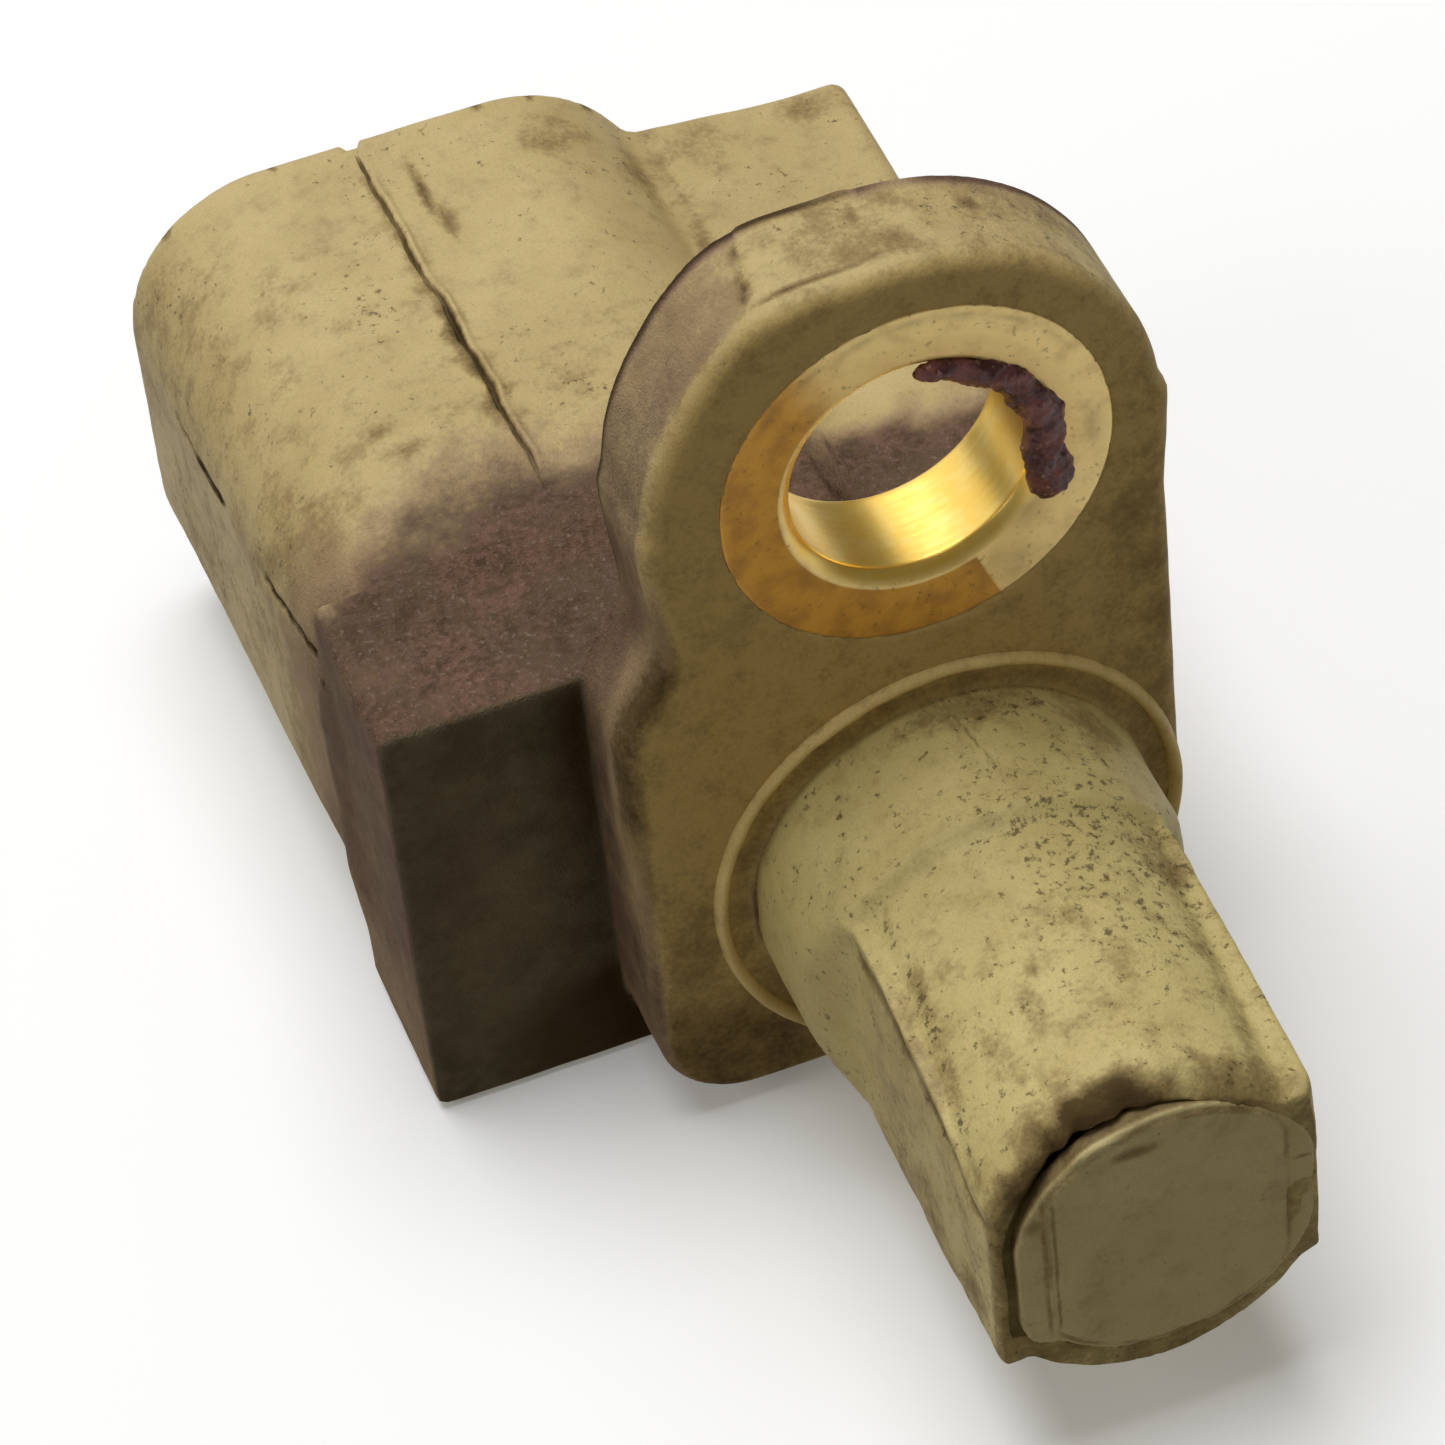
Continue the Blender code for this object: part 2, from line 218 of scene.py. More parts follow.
def seam_path(y):
    """X of the parting crack on top of the shroud: it jogs aside halfway."""
    jog = 0.09 * ramp(y, 17.9, 17.3)
    return SEAM_X - 0.014 * (y - 16) + jog + 0.03 * sin(1.9 * y) + 0.014 * sin(4.7 * y + 1) \
        + 0.01 * sin(11 * y + 2)


def seam_width(y):
    """Half width of the crack: a hairline behind the jog, ragged and wider before it."""
    ragged = 0.062 + 0.03 * sin(2.3 * y + 2.2) + 0.022 * sin(6.1 * y) + 0.012 * sin(15 * y)
    width = where(y > 17.5, 0.022 + 0.008 * sin(3 * y), maximum(0.62 * ragged, 0.02))
    return width * (0.3 + 0.7 * ramp(y, 9, 14)) * ramp(y, 8, 9) * ramp(y, BACK - 0.5, BACK - 1.3)


def slit_z(y):
    """Height of the parting slit in the shroud's left wall."""
    return interp(y, (7.5, 8.2, 13.2, 16.4, 20.5), (-8.3, -8.45, -9.25, -9.48, -9.66)) \
        + 0.02 * sin(5 * y)


def slit_open(y):
    """1 where the slit is open."""
    return maximum(ramp(abs(y - 10.6), 2.9, 2.4), ramp(abs(y - 18.5), 2.2, 1.8))


def housing_field(x, y, z):
    """Housing without its probe: flange, front block, shroud and side block, with their hollows."""
    flange = extrude(flange_outline(x, z), y, 0.0, FLANGE_T, FLANGE_EDGE, 0.12)
    mould_line = 0.035 * bell(x, 0.07) * (z > -8)
    flange = flange - mould_line * (0.6 + 0.4 * sin(2.1 * z + 3 * y))
    flange = flange - 0.05 * rim_patch(x, y, z)
    base = extrude(hypot(x, z - PROBE_Z) - BASE_R + 0.14, y, -1.0, 2.0, 0.1)
    block = extrude(rectangle(x, z, BLOCK_LEFT, 0.0, BOTTOM, BLOCK_TOP, 0.3), y,
                    BLOCK_FRONT, BLOCK_BACK, 0.18)
    spread = (BLOCK_LEFT - LEFT) * clip((y - SHROUD_FRONT) / (BACK - SHROUD_FRONT), 0, 1)
    shell = rectangle(x, z, BLOCK_LEFT - spread, SHROUD_RIGHT, BOTTOM, SHROUD_TOP, SHROUD_CORNER)
    shroud = extrude(shell, y, SHROUD_FRONT - 0.5, BACK, 1.1, 0.3)
    rise = 0.42 * ramp(x, 5.5, 0.5) * ramp(y, 14, 21)
    side = extrude(rectangle(x, z - rise, SIDE_LEFT, RIGHT, SIDE_BOTTOM, SIDE_TOP, 0.45), y,
                   SIDE_FRONT, SIDE_BACK, 0.3)
    body = join(join(block, shroud, 0.9), side, 0.45 + 0.8 * ramp(y, 15, 11))
    body = body + 0.02 * waves(x, y, z, 9, 3) + 0.008 * waves(x, y, z, 1.6, 4)
    flange = flange + 0.012 * waves(x, y, z, 7, 5) + 0.006 * waves(x, y, z, 1.4, 6)
    solid = join(join(flange, base, 0.4), body, 0.25)
    return hollow(seam(solid, x, y, z), x, y, z)


def seam(solid, x, y, z):
    """Parting crack with its flash lip on the shroud's top, and two slits on its left side."""
    on_top = ramp(z, -7.6, -7)
    off = x - seam_path(y)
    width = seam_width(y)
    lip_height = 0.13 * ramp(y, 9, 12) * ramp(y, 23.4, 21) * (0.65 + 0.35 * sin(2.3 * y + 0.5))
    lip = lip_height * bell(off - width - 0.14, 0.09) * on_top
    depth = 0.22 * ramp(abs(off), width + 0.045, width * 0.2) * on_top * ramp(width, 0.004, 0.02)
    notch = 0.3 * ramp(abs(x - SEAM_X + 0.1), 0.3, 0.1) * ramp(y, BACK - 0.5, BACK - 0.1) * on_top
    slit = 0.3 * ramp(abs(z - slit_z(y)), 0.1, 0.02) * ramp(x, -12.9, -13.2) * slit_open(y)
    return solid - lip + depth + notch + slit


def hollow(solid, x, y, z):
    """Bush seat, insert bore, terminal slots, comb hole, socket and side pocket."""
    solid = carve(solid, extrude(hypot(x, z) - BUSH_R + GAP, y, -2, FLANGE_T + 2, 0.1), 0.03)
    bore = extrude(flatted(x, z, INSERT_R + GAP, INSERT_HALF + GAP), y, -8, INSERT_HIGH.y + 0.1, 0.1)
    socket = extrude(rectangle(x, z, LEFT + WALL, SHROUD_RIGHT - WALL, BOTTOM + WALL,
                               SHROUD_TOP - WALL, SHROUD_CORNER - WALL), y, SOCKET_FLOOR, BACK + 3, 0.3)
    middle = (BLADE_LOW.z + BLADE_HIGH.z) / 2
    rib = extrude(rectangle(x, z, SHROUD_RIGHT - WALL - 0.8, SHROUD_RIGHT, middle - 1, middle + 1, 0.2),
                  y, SOCKET_FLOOR - 1, BACK - 1.5, 0.2)
    socket = carve(socket, rib, 0.2)
    comb = extrude(rectangle(x, z, COMB_LOW.x - GAP, COMB_HIGH.x + GAP, COMB_LOW.z - GAP,
                             COMB_HIGH.z + GAP, 0.1), y, COMB_LOW.y - 0.1, SOCKET_FLOOR + 2, 0.1)
    pocket = extrude(rectangle(x, z, 2.2, 5.6, -15.6, -9.6, 0.6), y, 12.5, BACK + 3, 0.4)
    for cut in (bore, socket, comb, pocket, terminal_room(x, y, z)):
        solid = carve(solid, cut, 0.25)
    return solid


def strip_distance(x, y, path):
    """Distance in plan from a broken line of (x, y) points."""
    nearest = np.full(np.shape(x), 1e3)
    for (ax, ay), (bx, by) in zip(path, path[1:]):
        dx, dy = bx - ax, by - ay
        t = clip(((x - ax) * dx + (y - ay) * dy) / (dx * dx + dy * dy), 0, 1)
        nearest = minimum(nearest, hypot(x - ax - t * dx, y - ay - t * dy))
    return nearest


def terminal_room(x, y, z):
    """Slots that the two terminals pass through, from the insert to the comb."""
    paths = (((-1.27, 2), (-1.27, 5.0), (-8.8, 7.3), (-8.8, 10.2)),
             ((1.27, 2), (1.27, 6.6), (-3.8, 9.2), (-3.8, 10.2)))
    plan = minimum(*(strip_distance(x, y, path) for path in paths)) - 0.95
    return maximum(plan, slab(z, BLADE_LOW.z - 0.1, BLADE_HIGH.z + 0.1))


def insert_field(x, y, z):
    """Insert: end cap with its raised pad, and the tray behind it with its pockets."""
    wear = 0.02 * waves(x, y, z, 2.2, 21) + 0.008 * waves(x, y, z, 0.8, 22)
    degrees = np.degrees(np.arctan2(z - PROBE_Z, x)) % 360
    cap = extrude(flatted(x, z, cap_radius(degrees), CAP_HALF, 0.3), y, CAP_FACE, INSERT_LOW.y + 0.7, 0.07)
    wedge = 0.16 * near((x, y, z), (-1.4, CAP_FACE, PROBE_Z + 3.5), (1.1, 0.5, 0.3))
    ragged = (0.05 + 0.04 * sin(4 * x + 1) + 0.03 * sin(9 * x)) * (z < PROBE_Z)
    pad = extrude(flatted(x, z, PAD_R - ragged, PAD_HALF, 0.3), y, TIP, CAP_FACE + 0.5, 0.07)
    scored = 0.05 * bell(abs(x) - PAD_HALF + 0.16, 0.05) * (y < CAP_FACE) * (x < 0)
    tray = extrude(flatted(x, z, INSERT_R, INSERT_HALF), y, CAP_FACE + 0.3, INSERT_HIGH.y, 0.1)
    top = extrude(rectangle(x, z, -6, 6, PROBE_Z + 2.9, PROBE_Z + 9, 0.1), y, -12.6, 9, 0.1)
    tray = carve(tray, top, 0.15)
    for node in ("sensing_chip", "bias_magnet", "filter_capacitor"):
        low, high = node_box(node)
        room = extrude(rectangle(x, z, low.x - 0.15, high.x + 0.15, low.z - 0.15, 9, 0.1), y,
                       low.y - 0.15, high.y + 0.15, 0.1)
        tray = carve(tray, room, 0.1)
    for centre in (-1.27, 1.27):
        slot = extrude(rectangle(x, z, centre - 0.9, centre + 0.9, BLADE_LOW.z - 0.15, 9, 0.1), y,
                       -1.1, 9, 0.1)
        groove = extrude(rectangle(x, z, centre - 0.4, centre + 0.4, PROBE_Z + 2.35, 9, 0.05), y,
                         -12.1, 0, 0.05)
        tray = carve(carve(tray, slot, 0.1), groove, 0.05)
    return minimum(join(cap - wedge, pad + scored, 0.06) + wear, tray)


# Field to mesh

CORNERS = [(i, j, k) for i in (0, 1) for j in (0, 1) for k in (0, 1)]


def surface_net(field, axes):
    """Points and four-sided faces of a field's zero surface on a grid of given axis values."""
    plane_y, plane_z = np.meshgrid(axes[1], axes[2], indexing="ij")
    values = np.stack([field(np.full_like(plane_y, x), plane_y, plane_z) for x in axes[0]])
    inside = values < 0
    shape = [n - 1 for n in inside.shape]
    count = sum(inside[i:i + shape[0], j:j + shape[1], k:k + shape[2]].astype(np.int8)
                for i, j, k in CORNERS)
    mixed = (count > 0) & (count < 8)
    cells = np.argwhere(mixed)
    number = np.full(mixed.shape, -1)
    number[mixed] = np.arange(len(cells))
    total, hits = np.zeros((len(cells), 3)), np.zeros(len(cells))
    for a, first in enumerate(CORNERS):
        for last in CORNERS[a + 1:]:
            step = np.subtract(last, first)
            if abs(step).sum() != 1:
                continue
            va = values[tuple((cells + first).T)]
            vb = values[tuple((cells + last).T)]
            cross = (va < 0) != (vb < 0)
            share = where(cross, va / where(cross, va - vb, 1), 0)
            total += cross[:, None] * (first + step * share[:, None])
            hits += cross
    place = cells + total / hits[:, None]
    points = np.stack([interp(place[:, i], np.arange(len(axes[i])), axes[i]) for i in range(3)], 1)
    return settle(field, points), net_faces(inside, number)


def net_faces(inside, number):
    """One face for each grid edge that crosses the surface, wound so that it looks outwards."""
    faces = []
    for axis in range(3):
        b, c = (axis + 1) % 3, (axis + 2) % 3
        before = np.take(inside, range(inside.shape[axis] - 1), axis)
        after = np.take(inside, range(1, inside.shape[axis]), axis)
        edges = np.argwhere(before != after)
        edges = edges[(edges[:, b] > 0) & (edges[:, c] > 0)]
        edges = edges[(edges[:, b] < inside.shape[b] - 1) & (edges[:, c] < inside.shape[c] - 1)]
        leaving = before[tuple(edges.T)]
        ring = []
        for back_b, back_c in ((0, 0), (1, 0), (1, 1), (0, 1)):
            cell = edges.copy()
            cell[:, b] -= back_b
            cell[:, c] -= back_c
            ring.append(number[tuple(cell.T)])
        quads = np.stack(ring, 1)
        quads[~leaving] = quads[~leaving][:, ::-1]
        faces.append(quads)
    return np.concatenate(faces)


def settle(field, points, rounds=3, probe=0.01, reach=0.06):
    """Moves points onto the field's zero surface."""
    for _ in range(rounds):
        value = field(*points.T)
        slope = np.stack([field(*(points + probe * axis).T) - value for axis in np.eye(3)], 1) / probe
        move = -value[:, None] * slope / maximum((slope ** 2).sum(1), 0.3)[:, None]
        length = np.linalg.norm(move, axis=1, keepdims=True)
        points = points + move * minimum(1, reach / maximum(length, 1e-9))
    return points


def axis_values(low, high, cell, fine=()):
    """Grid lines from low to high, closer together in the given (start, end, step) stretches."""
    values = np.arange(low - cell, high + 2 * cell, cell)
    for start, end, step in fine:
        values = values[(values < start - step) | (values > end + step)]
        values = np.concatenate([values, np.arange(start, end + step / 2, step)])
    return np.sort(values)


def add_object(name, data):
    made = bpy.data.objects.new(name, data)
    bpy.context.scene.collection.objects.link(made)
    return made


def mesh_piece(name, points, faces, finish, masks=None, replaces=()):
    """Object from design-frame points, riding on the root body, with its masks as attributes."""
    mesh = bpy.data.meshes.new(name)
    points = clip(points, [LEFT, TIP, BOTTOM], [RIGHT, BACK, EAR_R])
    mesh.from_pydata(to_row(points).tolist(), [], faces.tolist())
    for mask, values in (masks or {}).items():
        made = mesh.attributes.new(mask, "FLOAT", "POINT")
        made.data.foreach_set("value", clip(values, 0, 1).astype(np.float32))
    mesh.materials.append(finish)
    mesh.shade_smooth()
    piece = add_object(name, mesh)
    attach(piece, "root")
    if replaces:
        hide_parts(*replaces)


def turned(rows, columns, centre_z=0, shift=0):
    """Closed tube round an axis along Y, from (radius, y) rows that may vary with the angle."""
    angle = round_angles(columns)
    loops = [np.stack([r * cos(angle), y + 0 * angle, centre_z + r * sin(angle)], 1) for r, y in rows]
    points = np.concatenate(loops)
    points[:, 0] += shift
    return points, outward(points, ring_faces(len(rows), columns))


def round_angles(columns):
    return np.linspace(0, 2 * math.pi, columns, endpoint=False)


def ring_faces(rows, columns):
    """Faces of a closed tube of loops: the last loop joins the first, like a torus."""
    row, column = np.meshgrid(np.arange(rows), np.arange(columns), indexing="ij")
    next_row, next_column = (row + 1) % rows, (column + 1) % columns
    corners = (row * columns + column, row * columns + next_column,
               next_row * columns + next_column, next_row * columns + column)
    return np.stack([c.ravel() for c in corners], 1)


def outward(points, faces):
    """Faces, turned round if they enclose a negative volume."""
    a, b, c, d = (points[faces[:, i]] for i in range(4))
    volume = (np.cross(a, b) * c).sum() + (np.cross(a, c) * d).sum()
    return faces if volume > 0 else faces[:, ::-1]


# Materials

class Finish:
    """A new material. Each helper adds shader nodes and returns the last one's output."""

    def __init__(self, name):
        self.made = bpy.data.materials.new(name)
        self.made.use_nodes = True

    def fill(self, node, inputs):
        """Links each input to a node's output, or sets it to a value."""
        for name, value in inputs.items():
            socket = node.inputs[name]
            if isinstance(value, bpy.types.NodeSocket):
                self.made.node_tree.links.new(value, socket)
            else:
                socket.default_value = (*value, 1.0) if socket.type == "RGBA" else value

    def node(self, kind, output, inputs, **settings):
        made = self.made.node_tree.nodes.new("ShaderNode" + kind)
        for name, value in settings.items():
            setattr(made, name, value)
        self.fill(made, inputs)
        return made.outputs[output]

    def noise(self, scale, detail=4.0, roughness=0.55, stretch=(1, 1, 1), offset=0.0):
        shift = (0.1 * offset, 0.07 * offset, -0.1 * offset)
        place = self.node("TexCoord", "Object", {})
        place = self.node("Mapping", "Vector", {"Vector": place, "Scale": stretch, "Location": shift})
        return self.node("TexNoise", "Fac", {"Vector": place, "Scale": scale, "Detail": detail,
                                             "Roughness": roughness})

    def mask(self, name):
        return self.node("Attribute", "Fac", {}, attribute_name=name)

    def maths(self, operation, a, b):
        return self.node("Math", 0, {0: a, 1: b}, operation=operation)

    def times(self, a, b):
        return self.maths("MULTIPLY", a, b)

    def plus(self, a, b):
        return self.maths("ADD", a, b)

    def swing(self, value, amount):
        """Moves a value's middle from 0.5 to 0, and stretches it."""
        return self.times(self.maths("SUBTRACT", value, 0.5), amount)

    def between(self, value, low, high):
        return self.node("MapRange", "Result", {"Value": value, "From Min": low, "From Max": high},
                         interpolation_type="SMOOTHSTEP")

    def mix(self, share, a, b):
        return self.node("Mix", "Result", {"Factor": share, "A": a, "B": b}, data_type="RGBA")

    def cover(self, colour, value, low, high, share, over):
        """Lays a colour over another where the value rises from low to high."""
        return self.mix(self.times(self.between(value, low, high), share), colour, over)

    def bump(self, height, strength, distance):
        return self.node("Bump", "Normal", {"Height": height, "Strength": strength,
                                            "Distance": distance})

    def surface(self, colour, roughness, others):
        """Feeds the material's shader, and returns the material."""
        inputs = {"Base Color": colour, "Roughness": roughness, **others}
        self.fill(self.made.node_tree.nodes["Principled BSDF"], inputs)
        return self.made


# Colours, linear
CREAM = (0.51, 0.388, 0.166)
CREAM_PALE = (0.565, 0.44, 0.197)
TAN = (0.33, 0.225, 0.085)
AMBER = (0.57, 0.4, 0.138)
OLIVE = (0.17, 0.118, 0.045)
BROWN = (0.215, 0.142, 0.053)
# the darkest grime colour also paints shade; the soot colours paint soot and shade on the front block's
# face; the crack colour also paints shade in that face's corners
DARK_GRIME_AND_SHADE = (0.068, 0.042, 0.015)
SHADED_SOOT = (0.096, 0.076, 0.046)
SHADED_SOOT_PALE = (0.165, 0.136, 0.088)
CRACK = (0.046, 0.025, 0.008)
BRAKE_DUST = (0.085, 0.049, 0.03)
DUST_PINK = (0.172, 0.094, 0.07)
DUST_GREY = (0.118, 0.075, 0.053)
# colour of painted glints in thick dust
DUST_PAINTED_GLINT = (0.27, 0.195, 0.165)
DUST_TAN = (0.37, 0.255, 0.15)
DUST_DARK = (0.045, 0.027, 0.017)
SPECK = (0.085, 0.06, 0.022)


def plastic(name, tint=(1.0, 1.0, 1.0), mottle=1.0):
    """Aged glass-filled plastic: cream with tan mottling, brown grime and painted shade, purple dust with
    painted glints, and dark specks.

    The masks say where dust, grime, soot, amber, cracks and specks lie thickly; the grime, soot and crack
    masks also carry painted shade.
    """
    add = Finish(name)
    cream, cream_pale, tan, amber = (tuple(c * t for c, t in zip(colour, tint))
                                     for colour in (CREAM, CREAM_PALE, TAN, AMBER))
    broad, middle = add.noise(330, 4), add.noise(1100, 6, 0.65, offset=3)
    cloud, grain = add.noise(520, 8, 0.7, offset=1), add.noise(4200, 4, 0.7, offset=13)
    fine, grit = add.noise(6500, 3, 0.6, offset=7), add.noise(15000, 2, offset=9)
    colour = add.mix(add.between(broad, 0.38, 0.66), cream, cream_pale)
    colour = add.cover(colour, middle, 0.47, 0.7, 0.38 * mottle, tan)
    colour = add.mix(add.times(add.mask("amber"), 0.75), colour, amber)
    colour = add.cover(colour, cloud, 0.56, 0.74, 0.34, OLIVE)
    colour = add.cover(colour, grit, 0.4, 0.7, 0.14, OLIVE)

    # grime and painted shade: brown where the mask is light, dark where it is heavy
    level = add.plus(add.mask("grime"), add.swing(middle, 0.9 * mottle))
    level = add.plus(level, add.swing(fine, 0.55 * mottle))
    colour = add.cover(colour, level, 0.06, 0.55, 0.75, BROWN)
    colour = add.cover(colour, level, 0.42, 1.0, 0.88, DARK_GRIME_AND_SHADE)
    level = add.plus(add.times(add.mask("speck"), 0.17), add.noise(3900, 4, 0.7, offset=11))
    specks = add.between(level, 0.7, 0.82)
    colour = add.mix(add.times(specks, 0.8), colour, SPECK)

    pink_or_grey = add.mix(add.between(broad, 0.4, 0.6), DUST_PINK, DUST_GREY)
    purple = add.mix(add.between(grain, 0.36, 0.62), BRAKE_DUST, pink_or_grey)
    purple = add.cover(purple, middle, 0.54, 0.68, 0.6, DUST_DARK)
    purple = add.cover(purple, grain, 0.4, 0.34, 0.6, DUST_DARK)
    thick = add.between(add.mask("dust"), 0.8, 1.0)
    # painted glints: pale sparks where the dust lies thick
    purple = add.cover(purple, fine, 0.55, 0.72, add.times(thick, 0.55), DUST_PAINTED_GLINT)
    level = add.plus(add.plus(add.mask("dust"), add.swing(cloud, 0.7)), add.swing(grain, 0.6))
    colour = add.cover(colour, level, 0.08, 0.5, 0.62, DUST_TAN)
    colour = add.cover(colour, level, 0.34, 1.0, 0.95, purple)
    # soot and painted shade on the front block's face
    colour = add.mix(add.mask("soot"), colour, add.mix(add.between(middle, 0.35, 0.7), SHADED_SOOT, SHADED_SOOT_PALE))
    # cracks and dark gaps, and painted shade in the corners of the front block's face
    colour = add.mix(add.mask("crack"), colour, CRACK)

    dirt = add.maths("MAXIMUM", add.mask("grime"), add.mask("dust"))
    rough = add.plus(add.plus(0.46, add.times(dirt, 0.3)), add.times(middle, 0.16))
    dull = add.maths("MAXIMUM", add.mask("soot"), add.mask("crack"))
    dull = add.maths("MAXIMUM", dull, add.times(dirt, 0.8))
    grains = add.times(add.plus(fine, grit), add.plus(0.25, add.times(add.mask("dust"), 1.6)))
    height = add.maths("SUBTRACT", add.plus(grains, middle), add.times(specks, 0.6))
    shine = add.maths("SUBTRACT", 0.3, add.times(dull, 0.26))
    normal = add.bump(height, 0.6, 0.00006)
    return add.surface(colour, rough, {"Specular IOR Level": shine, "Normal": normal})


def brass():
    """Turned brass: bright and brushed in the bore, stained orange or pale on its face."""
    add = Finish("bush_brass")
    middle, fine = add.noise(1100, 5, 0.6), add.noise(5200, 3, 0.6, offset=5)
    bright = add.mix(add.between(middle, 0.4, 0.65), (0.83, 0.56, 0.12), (0.85, 0.625, 0.19))
    orange = add.mix(add.between(middle, 0.38, 0.66), (0.68, 0.36, 0.055), (0.5, 0.25, 0.045))
    cloud = add.between(add.noise(1500, 5, 0.6, offset=9), 0.44, 0.7)
    pale = add.mix(cloud, (1.0, 0.77, 0.33), (0.82, 0.6, 0.25))
    edge = add.plus(add.mask("orange"), add.swing(middle, 0.3))
    film = add.mix(add.between(edge, 0.08, 0.92), pale, orange)
    film = add.mix(add.times(add.mask("imprint"), 0.45), film, (0.92, 0.66, 0.27))
    colour = add.mix(add.mask("film"), bright, film)
    colour = add.mix(add.times(add.mask("grime"), 0.85), colour, (0.1, 0.062, 0.025))
    colour = add.cover(colour, fine, 0.6, 0.72, add.times(add.mask("film"), 0.5), (0.16, 0.1, 0.035))
    rings = add.noise(1.0, 2, stretch=(300, 12000, 300))
    height = add.plus(add.times(rings, 0.6), add.times(fine, 0.4))
    metallic = add.maths("SUBTRACT", 0.9, add.times(add.mask("film"), 0.45))
    return add.surface(colour, add.plus(0.33, add.times(add.mask("film"), 0.16)),
                       {"Metallic": metallic, "Normal": add.bump(height, 0.25, 0.00002)})


def grease():
    """Dried thread-locking grease: maroon, half gloss, with a skin of fine wrinkles and painted pale
    glints on their crests.
    """
    add = Finish("thread_grease")
    middle, wrinkle = add.noise(1800, 4, 0.6), add.noise(4200, 3, 0.5, offset=2)
    colour = add.mix(add.between(middle, 0.35, 0.7), (0.066, 0.017, 0.018), (0.29, 0.108, 0.104))
    # painted glints: pale pink highlights on the wrinkle crests
    colour = add.mix(add.between(wrinkle, 0.62, 0.72), colour, (0.5, 0.29, 0.27))
    normal = add.bump(add.plus(middle, wrinkle), 0.7, 0.00008)
    return add.surface(colour, add.plus(0.24, add.times(middle, 0.3)),
                       {"Specular IOR Level": 0.35, "Normal": normal})


def moulded(name, dark, light, roughness, grain):
    """Moulded or sintered body with a fine grain."""
    add = Finish(name)
    middle = add.noise(1400, 5, 0.65)
    return add.surface(add.mix(add.between(middle, 0.35, 0.68), dark, light),
                       add.plus(roughness, add.times(middle, 0.2)),
                       {"Normal": add.bump(add.noise(grain, 3), 0.35, 0.00002)})


def tinned(name, along):
    """Tin plate over stamped copper alloy, drawn marks along one axis, dull spots."""
    add = Finish(name)
    drawn, dull = add.noise(1.0, 3, stretch=along), add.noise(1500, 4, 0.6)
    colour = add.mix(add.between(drawn, 0.35, 0.7), (0.5, 0.49, 0.46), (0.68, 0.67, 0.64))
    colour = add.cover(colour, dull, 0.55, 0.7, 0.6, (0.4, 0.33, 0.22))
    return add.surface(colour, add.plus(0.26, add.times(dull, 0.25)),
                       {"Metallic": 1.0, "Normal": add.bump(drawn, 0.3, 0.00001)})


# Where dirt lies


HOUSING_SPOTS = (
    ((-5.75, 21.6, -5.6), (0.2, 1.3, 1), 0.85), ((-5.55, 20.2, -5.6), (0.28, 1.1, 1), 0.6),
    ((-2, 22.4, -6), (1.2, 1, 1.2), 0.42), ((-13.2, 21, -8.5), (1.6, 3.5, 2), 0.26),
    ((2.2, 22.6, -8), (1.3, 1.2, 1), 0.36), ((5.6, 23.2, -8), (1.2, 0.7, 1), 0.55),
    ((0.3, 21.6, -7), (0.7, 1.8, 1), 0.5), ((-9.8, 13.2, -5.7), (0.5, 0.5, 1), 0.5),
    ((-9.2, 12.2, -5.7), (0.5, 0.35, 1), 0.55), ((-10.8, 19.5, -6), (1.4, 2.2, 1), 0.18),
    ((-11.6, 16, -6), (1, 2.5, 2), 0.18), ((2.5, 2.1, 6), (0.35, 0.45, 1), 0.7))
RIM_SPOTS = (((-3.4, 1.3), (0.22, 0.55), 0.8), ((-0.35, 2.3), (0.3, 0.6), 0.7))
BACK_CHIPS = [((x, BACK - 0.15), (0.16 + 0.04 * math.sin(x), 0.35), 0.95)
              for x in (-12.2, -9.1, -3.4, -1.9, -0.4, 3.1)]


def plastic_masks(points, **given):
    """All masks that plastic() reads, zero where not given."""
    names = ("dust", "grime", "crack", "speck", "soot", "amber")
    return {name: given.get(name, 0) + np.zeros(len(points)) for name in names}


